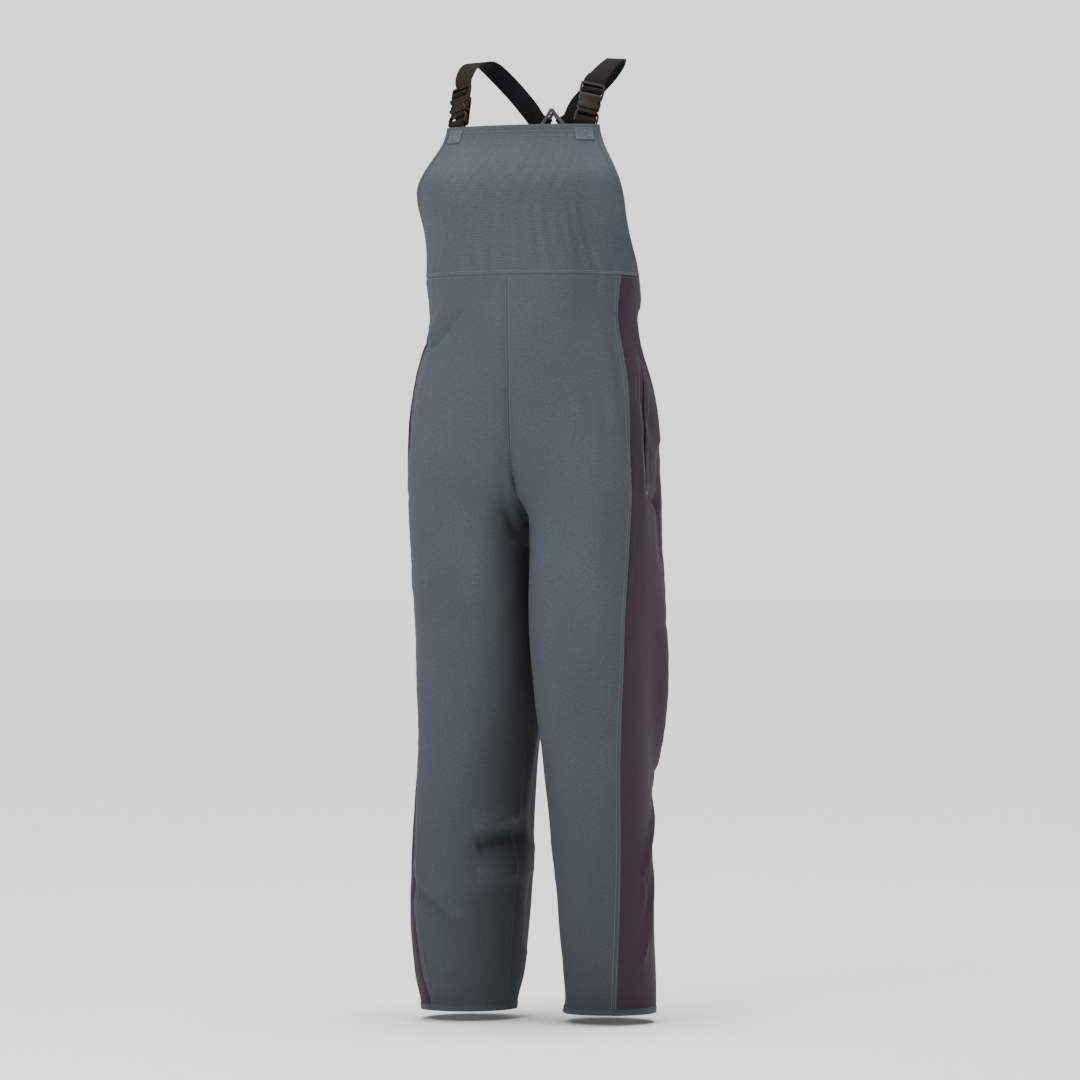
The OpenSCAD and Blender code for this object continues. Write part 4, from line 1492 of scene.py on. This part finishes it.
def finished(
    name: str, data: MeshData, body: str | None, nodes: list[str], slot: str, *finishes: Finish
) -> bpy.types.Object:
    """Builds a piece, dresses it and ties it to the frame.

    Args:
        name: the piece's name.
        data: its mesh.
        body: the body that it rides on, or None to leave it unattached.
        nodes: the CAD nodes that it stands for.
        slot: not used.
        finishes: its finishes, in the order of its faces' marks.
    """
    ob = Paint.on(data.build(name), *finishes)
    if body:
        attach(ob, body)
    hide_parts(*nodes)
    log.info("%s: %d faces", name, len(ob.data.polygons))
    return ob


def turn(p: np.ndarray, axis: int, deg: float) -> np.ndarray:
    """Points turned about one of the three axes."""
    c, s = math.cos(math.radians(deg)), math.sin(math.radians(deg))
    i, j = [(1, 2), (2, 0), (0, 1)][axis]
    q = np.array(p, float)
    q[..., i], q[..., j] = p[..., i] * c - p[..., j] * s, p[..., i] * s + p[..., j] * c
    return q


@dataclass(frozen=True)
class BuckleFrame:
    """Where a buckle sits: its mouth, and how it leans against the chest."""

    side: Wearer
    mouth: tuple[float, float, float] = (106.5, -54.8, 1384.5)
    lean: float = 25.0
    splay: float = 3.0
    yaw: float = 24.0

    def vector(self, v: Route) -> np.ndarray:
        """A direction in the buckle's own axes, as one above the hems."""
        q = turn(turn(turn(np.asarray(v, float), 2, self.yaw), 0, -self.lean), 1, self.splay)
        return q * (self.side.value, 1, 1)

    def point(self, v: Route) -> np.ndarray:
        """A point in the buckle's own axes, as one above the hems."""
        return self.vector(v) + np.array(self.mouth) * (self.side.value, 1, 1)


def rounded_route(corners: np.ndarray, times: int = 2) -> np.ndarray:
    """A polygon with its corners cut again and again until they're round."""
    p = np.asarray(corners, float)
    for _ in range(times):
        q = np.roll(p, -1, axis=0)
        p = np.stack([mix(p, q, 0.25), mix(p, q, 0.75)], axis=1).reshape(-1, p.shape[1])
    return p


class Moulding:
    """A moulded solid made from slabs, with the openings cut out of it.

    Its own axes are x across, y through and z along, in millimetres.
    """

    def __init__(self, name: str) -> None:
        """Starts with nothing."""
        self.name = name
        self.body: bpy.types.Object | None = None

    @staticmethod
    def _solid(outline: np.ndarray, y0: float, y1: float, bevel: float) -> bpy.types.Object:
        """A slab with an outline in x and z, from y0 to y1, with round edges."""
        mesh = bpy.data.meshes.new("slab")
        bm = bmesh.new()
        near = [bm.verts.new((x, y0, z)) for x, z in outline]
        far = [bm.verts.new((x, y1, z)) for x, z in outline]
        rims = [bm.faces.new(near), bm.faces.new(far[::-1])]
        for i in range(len(outline)):
            j = (i + 1) % len(outline)
            bm.faces.new((near[j], near[i], far[i], far[j]))
        bmesh.ops.recalc_face_normals(bm, faces=bm.faces)
        if bevel:
            rim = list(dict.fromkeys(edge for face in rims for edge in face.edges))
            bmesh.ops.bevel(
                bm, geom=rim, offset=bevel, segments=3, profile=0.5, affect="EDGES", clamp_overlap=True
            )
        bm.to_mesh(mesh)
        bm.free()
        ob = bpy.data.objects.new("slab", mesh)
        bpy.context.collection.objects.link(ob)
        return ob

    def _combine(self, other: bpy.types.Object, operation: str) -> None:
        """Joins another solid to the body, or cuts it out."""
        if self.body is None:
            self.body = other
            return
        modifier = self.body.modifiers.new("cut", "BOOLEAN")
        modifier.operation, modifier.object, modifier.solver = operation, other, "EXACT"
        graph = bpy.context.evaluated_depsgraph_get()
        mesh = bpy.data.meshes.new_from_object(self.body.evaluated_get(graph))
        self.body.modifiers.clear()
        old, self.body.data = self.body.data, mesh
        bpy.data.meshes.remove(old)
        used = other.data
        bpy.data.objects.remove(other, do_unlink=True)
        bpy.data.meshes.remove(used)

    def slab(self, outline: Route, y: float, through: float, bevel: float, rounds: int) -> "Moulding":
        """Joins a slab, centred at y and through thick, with a rounded outline."""
        outline = rounded_route(outline, rounds)
        self._combine(self._solid(outline, y - through / 2, y + through / 2, bevel), "UNION")
        return self

    def cut(self, half_w: float, z0: float, z1: float, through: float, soft: bool = True) -> "Moulding":
        """Cuts an opening from height z0 to z1, through thick, with soft corners or sharp ones."""
        corners = [(-half_w, z0), (half_w, z0), (half_w, z1), (-half_w, z1)]
        if soft:
            r = min(1.2, half_w / 3, (z1 - z0) / 3)
            corners = soft_box(-half_w, half_w, z0, z1, r)
        self._combine(self._solid(np.array(corners, float), -through / 2, through / 2, 0), "DIFFERENCE")
        return self

    def rod(self, half_w: float, z: float, r: float) -> "Moulding":
        """Joins a round rod across x at height z."""
        n = 16
        mesh = bpy.data.meshes.new("rod")
        angles = [2 * math.pi * k / n for k in range(n)]
        points = [(end, r * math.cos(a), z + r * math.sin(a)) for end in (-half_w, half_w) for a in angles]
        faces = [tuple(range(n)), tuple(range(2 * n - 1, n - 1, -1))]
        faces += [(i, i + n, (i + 1) % n + n, (i + 1) % n) for i in range(n)]
        mesh.from_pydata(points, [], faces)
        bm = bmesh.new()
        bm.from_mesh(mesh)
        bmesh.ops.recalc_face_normals(bm, faces=bm.faces)
        bm.to_mesh(mesh)
        bm.free()
        ob = bpy.data.objects.new("rod", mesh)
        bpy.context.collection.objects.link(ob)
        self._combine(ob, "UNION")
        return self

    def place(self, seat: BuckleFrame, body: str, node: str) -> None:
        """Puts the moulding in its place on the buckle's frame, for one CAD node."""
        data = MeshData()
        mesh = self.body.data
        co = np.array([v.co for v in mesh.vertices])
        faces = [tuple(f.vertices) for f in mesh.polygons]
        if seat.side is Wearer.RIGHT:
            faces = [f[::-1] for f in faces]
        data.add(seat.point(co), faces, co[:, [0, 2]])
        bpy.data.objects.remove(self.body, do_unlink=True)
        bpy.data.meshes.remove(mesh)
        finished(self.name, data, body, [node], "buckle_plastic", Finish.BUCKLE)


def soft_box(x0: float, x1: float, z0: float, z1: float, r: float) -> list[tuple[float, float]]:
    """Outline of a rectangle whose corners have radius r."""
    centres = (x1 - r, z1 - r), (x0 + r, z1 - r), (x0 + r, z0 + r), (x1 - r, z0 + r)
    out = []
    for quarter, (x, z) in enumerate(centres):
        for k in range(4):
            a = math.radians(90 * quarter + 30 * k)
            out.append((x + r * math.cos(a), z + r * math.sin(a)))
    return out


def both_sides(half: list[tuple[float, float]]) -> np.ndarray:
    """A whole outline from the half of it at x above 0."""
    return np.array(half + [(-x, z) for x, z in half[::-1]], float)


@dataclass(frozen=True)
class Webbing:
    """Woven strap of one width and thickness."""

    STEPS: ClassVar[int] = 6
    width: float = 31.0
    thick: float = 1.5
    finishes: ClassVar[tuple[Finish, ...]] = (Finish.WEBBING, Finish.WEBBING_INSIDE)

    def lay(self, route: list, side: Wearer) -> Line:
        """Lays the webbing smoothly along a route.

        Args:
            route: pairs of a point above the hems and a width direction.
            side: the wearer's side, which mirrors what is outside.

        Returns:
            The fine line that it follows, its width directions and its outward ones.
        """
        path = np.array([p for p, _ in route])
        wide = np.array([w for _, w in route])
        t = np.linspace(0, len(path) - 1, (len(path) - 1) * self.STEPS + 1)
        line = curve_at(path, t)
        along = unit(np.gradient(line, axis=0))
        across = curve_at(wide, t)
        across = unit(across - np.sum(across * along, axis=-1, keepdims=True) * along)
        return line, across, np.cross(across, along) * side.value

    def add_to(self, data: MeshData, line: np.ndarray, across: np.ndarray, out: np.ndarray) -> None:
        """Adds the webbing's solid along a line that lay() gave."""
        outline = rounded_outline(self.width / 2, self.thick / 2, 7, 28)
        sweep(data, line, across, out, outline, two_sided=True)


@dataclass
class Buckle:
    """A side-release buckle with its ladder lock, plug, squeeze arms and tab."""

    seat: BuckleFrame
    web: Webbing = Webbing()
    slot_half: float = 15.9
    cavity: tuple[float, float] = (31.0, 7.0)
    thick: float = 11.0
    bar_z: float = -17.0
    ladder: tuple[tuple[float, float], ...] = ((25.5, 31.4), (34.6, 41))
    right_through: float = 20.0

    def build(self) -> None:
        """Makes the buckle's pieces."""
        word = self.seat.side.word
        self.make_socket(word)
        self.make_plug(word)
        for sign, place in ((1, "outer"), (-1, "inner")):
            self.make_arm(word, sign, place)
        self.make_tab(word)

    def make_socket(self, word: str) -> None:
        """Makes the socket, with its finger notches and ladder lock."""
        housing = [
            (14.6, 0), (16.6, 0.2), (17.6, 2.6), (17.6, 5), (15.4, 6.4), (13.4, 9),
            (13, 11.6), (14, 14.6), (16.8, 16.6), (18.4, 19), (19.2, 23), (17.6, 24.6),
        ]
        lock = [(17.6, 21.5), (19.4, 23.5), (19.6, 43), (18.2, 45), (10, 45.2)]
        m = Moulding(f"buckle_socket_{word}")
        m.slab(both_sides(housing), 0, self.thick, 1.6, 2)
        m.slab(both_sides(lock), 0, 4.6, 0.9, 1)
        m.cut(self.cavity[0] / 2, -2, 21, self.cavity[1], soft=False)
        for low, high in self.ladder:
            m.cut(self.slot_half, low, high, self.right_through)
        m.place(self.seat, f"socket_{word}", f"socket_{word}")

    def make_plug(self, word: str) -> None:
        """Makes the plug, with the bar that its tab goes round."""
        outline = [
            (13, -0.4), (15.2, -0.8), (15, -3.4), (17.4, -6.4),
            (19, -10), (19.3, -18), (18.4, -21.6), (15.9, -22),
        ]
        tongue = [(-3.5, -2), (3.5, -2), (3.5, 16), (2, 18), (-2, 18), (-3.5, 16)]
        m = Moulding(f"buckle_plug_{word}")
        m.slab(both_sides(outline), 0, 6.4, 1.1, 2)
        m.cut(self.slot_half, -30, -7.6, self.right_through)
        m.rod(self.slot_half + 2, self.bar_z, 2.0)
        m.slab(tongue, 0, 5.0, 0.5, 1)
        m.place(self.seat, "root", f"plug_{word}")

    def make_arm(self, word: str, sign: int, place: str) -> None:
        """Makes one squeeze arm."""
        outline = [
            (8, 0.4), (12.6, 0.4), (12.8, 5.2), (16.2, 6), (17.6, 6.6), (18.4, 9),
            (17.9, 11.6), (16.4, 14.5), (13.6, 19.5), (11.8, 19.5), (10, 9),
        ]
        m = Moulding(f"buckle_{place}_arm_{word}")
        m.slab(np.array(outline) * (sign, 1), 0, 5.6, 0.7, 1)
        m.place(self.seat, f"{place}_arm_{word}", f"{place}_arm_{word}")

    def make_tab(self, word: str) -> None:
        """Makes the webbing tab that holds the plug to the bib."""
        r, bar = 3.05, self.bar_z
        half_turn = [math.radians(k) for k in range(0, 181, 30)]
        path = [(1.2, bar - 13), (-0.6, bar - 9), (-2.6, bar - 5)]
        path += [(-r * math.cos(a), bar + r * math.sin(a)) for a in half_turn]
        path += [(r, bar - 10), (r, bar - 20), (r, bar - 30)]
        route = [(self.seat.point((0, y, z)), self.seat.vector((1, 0, 0))) for y, z in path]
        data = MeshData()
        self.web.add_to(data, *self.web.lay(route, self.seat.side))
        finished(f"tab_{word}", data, "root", [f"buckle_tab_{word}"], "webbing", *self.web.finishes)


@dataclass
class Joiner:
    """The triangular ring behind the shoulders, and its back strap."""

    middle: tuple[float, float, float] = (0, 88, 1366)
    tilt: float = 15.0
    corners: tuple = ((0, 0, 27), (31, 0, -27), (-31, 0, -27))
    corner_r: float = 7.0
    bar_r: float = 2.6
    web: Webbing = Webbing()

    @property
    def wrap(self) -> list[tuple[float, float]]:
        """Route of webbing round a bar: distance out from it, and depth behind it."""
        w = self.bar_r + 0.5 + self.web.thick / 2
        return [
            (16, w + 0.6), (7, w), (0, w), (-0.7 * w, 0.7 * w), (-w, 0), (-0.7 * w, -0.7 * w),
            (0, -w), (4, -w + 0.2), (10, -1.4), (20, 1.7), (27, 2.2),
        ]

    def point(self, v: Route) -> np.ndarray:
        """A point in the joiner's own axes, as one above the hems."""
        return turn(np.asarray(v, float), 0, self.tilt) + np.array(self.middle)

    def side_bar(self) -> Line:
        """Middle, run and outward direction of the left side bar's webbing."""
        a, b = np.array(self.corners[0], float), np.array(self.corners[1], float)
        run = unit(b - a)
        return a + run * 28, run, np.array([-run[2], 0, run[0]])

    def build(self) -> None:
        """Makes the ring and the strap that ties it to the back."""
        line = self._ring()
        along = unit(np.roll(line, -1, axis=0) - np.roll(line, 1, axis=0))
        data = MeshData()
        self._bar(data, line, along, rounded_outline(self.bar_r, self.bar_r, 2.6, 20), closed=True)
        self.add_ribs(data)
        finished("brace_joiner", data, "joiner", ["back_joiner"], "joiner_plastic", Finish.JOINER)
        self.make_strap()

    def _ring(self) -> np.ndarray:
        """The triangle's line, with its corners rounded."""
        c = np.array(self.corners, float)
        corner, bar = np.linspace(0, 1, 8)[:, None], np.linspace(0, 1, 10)[1:-1, None]
        line = []
        for i in range(3):
            a, b, d = c[i - 1], c[i], c[(i + 1) % 3]
            start, end = b + unit(a - b) * self.corner_r, b + unit(d - b) * self.corner_r
            line.append((1 - corner) ** 2 * start + 2 * corner * (1 - corner) * b + corner**2 * end)
            line.append(mix(end, d + unit(b - d) * self.corner_r, bar))
        return np.concatenate(line)

    def _bar(
        self, data: MeshData, line: np.ndarray, along: np.ndarray, outline: np.ndarray, closed: bool = False
    ) -> None:
        """Adds a bar along a line in the joiner's own axes."""
        out = np.broadcast_to((0.0, 1.0, 0.0), line.shape)
        across = turn(np.cross(along, out), 0, self.tilt)
        sweep(data, self.point(line), across, turn(out, 0, self.tilt), outline, closed)

    def add_ribs(self, data: MeshData) -> None:
        """Adds the vee that stands in front of the webbing, from the top to the lower corners."""
        top, apex = np.array([0.0, 0.0, 26.0]), np.array([0.0, -6.6, 33.0])
        self._rib(data, top, apex, 2.4)
        for sign in (-1, 1):
            knee, foot = np.array([sign * 28.5, -6.6, -6.0]), np.array([sign * 30.0, 0.0, -25.0])
            self._rib(data, apex, knee, 2.5)
            self._rib(data, knee, foot, 2.3)

    def _rib(self, data: MeshData, a: np.ndarray, b: np.ndarray, r: float) -> None:
        """Adds one straight rib, a little thicker at its ends."""
        t = np.linspace(0, 1, 9)
        line = mix(a, b, t[:, None])
        along = np.broadcast_to(unit(b - a), line.shape)
        swell = 1 + 0.25 * (2 * t - 1) ** 4
        outline = rounded_outline(r, 1.5, 2.6, 16) * swell[:, None, None]
        self._bar(data, line, along, outline)

    def make_strap(self) -> None:
        """Makes the strap from the joiner's lower bar down inside the back's top."""
        strap = [(126, 1268), (124.4, 1280), (121.6, 1292), (117.62, 1303), (111.5, 1313), (104.5, 1320)]
        bar = self.corners[1][2]
        path = [np.array([0, y, h]) for y, h in strap]
        path += [self.point((0, depth, bar - out)) for out, depth in self.wrap]
        data = MeshData()
        line = self.web.lay([(p, np.array([1.0, 0, 0])) for p in path], Wearer.RIGHT)
        self.web.add_to(data, *line)
        finished("joiner_strap", data, "root", ["back_strap"], "webbing", *self.web.finishes)


@dataclass
class Brace:
    """One elastic brace, from its ladder lock over the shoulder to the joiner."""

    seat: BuckleFrame
    joiner: Joiner
    web: Webbing = Webbing()

    # depth and height in the buckle's axes, from the tail's end to the lock's top
    LOCK = [
        (8.4, -22), (8.2, 0), (8.2, 20), (7.4, 24.6), (4.8, 26.6), (2.4, 27.4), (0, 28.5),
        (-2.6, 30.2), (-3.6, 33), (-2.7, 35.7), (0, 37.3), (2.2, 39), (3.4, 42), (3.6, 50),
    ]
    # points over the shoulder and their width directions
    SHOULDER = [
        ((112, -18, 1440), (0.95, 0.3, 0)), ((116, 8, 1456), (0.98, 0.15, 0)),
        ((117, 36, 1467), (1, 0.1, 0)), ((113, 60, 1470), (0.97, 0.25, -0.1)),
        ((103, 76, 1463), (0.9, 0.15, -0.4)), ((90, 84, 1450), (0.8, 0.05, -0.6)),
        ((74, 88, 1433), (0.77, 0, -0.64)), ((58, 90, 1415), (0.75, 0, -0.66)),
        ((43, 90, 1397), (0.7, 0, -0.7)),
    ]
    CREST, LEAVE = 2, 7  # where the two lengths meet, and where the joiner takes over
    # how much the left one sags away from that line, from its crest to the joiner
    SLACK = [(0, 0, 0), (0, 1, 0), (-1, 2, -1), (-3, 3, 0), (-6, 4, 2), (-6, 4, 4)]

    def route(self, flip: np.ndarray) -> list[tuple[np.ndarray, np.ndarray]]:
        """Points and width directions from the tail's end to the joiner's side bar.

        Args:
            flip: what a point on the wearer's left is multiplied by for this side.
        """
        side = self.seat.side
        route = [(self.seat.point((0, y, z)), self.seat.vector((1, 0, 0))) for y, z in self.LOCK]
        slack = np.zeros((len(self.SHOULDER), 3))
        if side is Wearer.LEFT:
            slack[-len(self.SLACK) :] = self.SLACK
        route += [(np.array(p) * flip + s, np.array(w) * flip) for (p, w), s in zip(self.SHOULDER, slack)]
        middle, run, away = self.joiner.side_bar()
        for out, depth in self.joiner.wrap:
            p = self.joiner.point(middle + away * out + np.array([0, depth, 0]))
            route.append((p * flip, turn(run, 0, self.joiner.tilt) * flip))
        return route

    def build(self) -> None:
        """Makes the brace as a front and a rear length that meet at the shoulder."""
        side = self.seat.side
        flip = np.array([side.value, 1, 1])
        laid = self.web.lay(self.route(flip), side)
        crest = (len(self.LOCK) + self.CREST) * self.web.STEPS
        front = self._length("front", [v[: crest + 1] for v in laid])
        rear = self._length("rear", [v[crest:] for v in laid])
        lock = tuple(to_frame(self.seat.point((0, 0, 46))))
        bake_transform(front)
        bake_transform(rear)

    def _length(self, part: str, laid: list[np.ndarray]) -> bpy.types.Object:
        """Makes the front or the rear length of the brace."""
        word = self.seat.side.word
        data = MeshData()
        self.web.add_to(data, *laid)
        return finished(f"brace_{part}_{word}", data, None, [f"brace_{word}"], "webbing", *self.web.finishes)


# Studio


@dataclass(frozen=True)
class SoftBox:
    """A square light round the object, which faces a height on its axis."""

    name: str
    azimuth: float
    distance: float
    height: float
    size: float
    watts: float
    aim: float


@dataclass(frozen=True)
class Studio:
    """Pale floor, soft lights and the camera."""

    boxes: tuple[SoftBox, ...] = (
        SoftBox("key", azimuth=-13, distance=2.2, height=0.95, size=1.4, watts=42, aim=-0.2),
        SoftBox("fill", azimuth=48, distance=3.6, height=0.4, size=2.4, watts=2, aim=-0.5),
        SoftBox("rear", azimuth=190, distance=3.4, height=2.6, size=2.4, watts=18, aim=-0.6),
    )
    sky_strength: float = 4.8
    sky_spread: float = 38.0
    surround: float = 0.16
    backdrop: float = 1.56

    azimuth: float = 20.0
    distance: float = 9.0
    eye: float = -0.751
    aside: float = 0.007
    floor_z: float = -1.500
    lens: float = 192.4

    def build(self) -> None:
        """Makes the floor, the lights and the camera."""
        self.make_floor()
        self.make_lights()
        self.make_camera()

    def around(self, azimuth: float, distance: float, z: float) -> tuple[float, float, float]:
        """A point at an azimuth and distance from the object's axis."""
        a = math.radians(azimuth)
        return (math.sin(a) * distance, -math.cos(a) * distance, z)

    def make_floor(self) -> None:
        """Makes a wide level floor under the object."""
        n = 24
        side = np.linspace(-1, 1, n + 1)
        spread = np.sign(side) * np.abs(side) ** 3 * 60
        x, y = np.meshgrid(spread, spread)
        grid = np.stack([x, y, np.full_like(x, self.floor_z)], axis=-1)
        data = MeshData()
        ids = np.arange((n + 1) ** 2).reshape(n + 1, n + 1)
        quads = np.stack([ids[:-1, :-1], ids[:-1, 1:], ids[1:, 1:], ids[1:, :-1]], axis=-1).reshape(-1, 4)
        data.add(grid / MM + (0, 0, SHOULDER_H), quads.tolist(), grid[..., :2].reshape(-1, 2))
        floor = data.build("floor")
        floor.data.materials.append(StudioFloor().make())

    def make_lights(self) -> None:
        """Makes the soft boxes, a wide sun overhead and a pale surround."""
        for box in self.boxes:
            self.make_box(box)
        sun = bpy.data.lights.new("sky", "SUN")
        sun.energy, sun.angle = self.sky_strength, math.radians(self.sky_spread)
        bpy.context.collection.objects.link(bpy.data.objects.new("sky", sun))
        self.make_surround()

    def make_surround(self) -> None:
        """Makes the pale surround, brighter where it's seen than where it lights."""
        world = bpy.data.worlds.new("surround")
        world.use_nodes = True
        tree = world.node_tree
        back = tree.nodes["Background"]
        back.inputs["Color"].default_value = (1, 1, 1, 1)
        seen = tree.nodes.new("ShaderNodeLightPath").outputs["Is Camera Ray"]
        level = tree.nodes.new("ShaderNodeMapRange")
        level.inputs["To Min"].default_value = self.surround
        level.inputs["To Max"].default_value = self.backdrop
        tree.links.new(seen, level.inputs["Value"])
        tree.links.new(level.outputs["Result"], back.inputs["Strength"])
        bpy.context.scene.world = world

    def make_box(self, box: SoftBox) -> None:
        """Makes one soft box."""
        light = bpy.data.lights.new(box.name, "AREA")
        light.shape, light.size, light.energy = "SQUARE", box.size, box.watts
        ob = bpy.data.objects.new(box.name, light)
        ob.location = self.around(box.azimuth, box.distance, box.height)
        aim = np.array([0, 0, box.aim]) - np.array(ob.location)
        tip = math.acos(-aim[2] / np.linalg.norm(aim))
        ob.rotation_euler = (tip, 0, math.atan2(aim[1], aim[0]) - math.pi / 2)
        bpy.context.collection.objects.link(ob)

    def make_camera(self) -> None:
        """Makes the camera, level and well back."""
        camera = bpy.data.cameras.new("camera")
        camera.lens, camera.sensor_width = self.lens, 36.0
        camera.dof.use_dof = False
        ob = bpy.data.objects.new("camera", camera)
        a = math.radians(self.azimuth)
        x, y, z = self.around(self.azimuth, self.distance, self.eye)
        ob.location = (x + self.aside * math.cos(a), y + self.aside * math.sin(a), z)
        ob.rotation_euler = (math.pi / 2, 0, math.radians(self.azimuth))
        bpy.context.collection.objects.link(ob)
        bpy.context.scene.camera = ob


def main() -> None:
    """Builds every sub-assembly in order."""
    logging.basicConfig(level=logging.INFO, format="%(name)s: %(message)s")
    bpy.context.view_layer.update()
    joiner = Joiner()
    for side in Wearer:
        seat = BuckleFrame(side)
        Buckle(seat).build()
        Brace(seat, joiner).build()
    joiner.build()
    Garment(GarmentForm()).build()
    Studio().build()


if __name__ == "__main__":
    main()
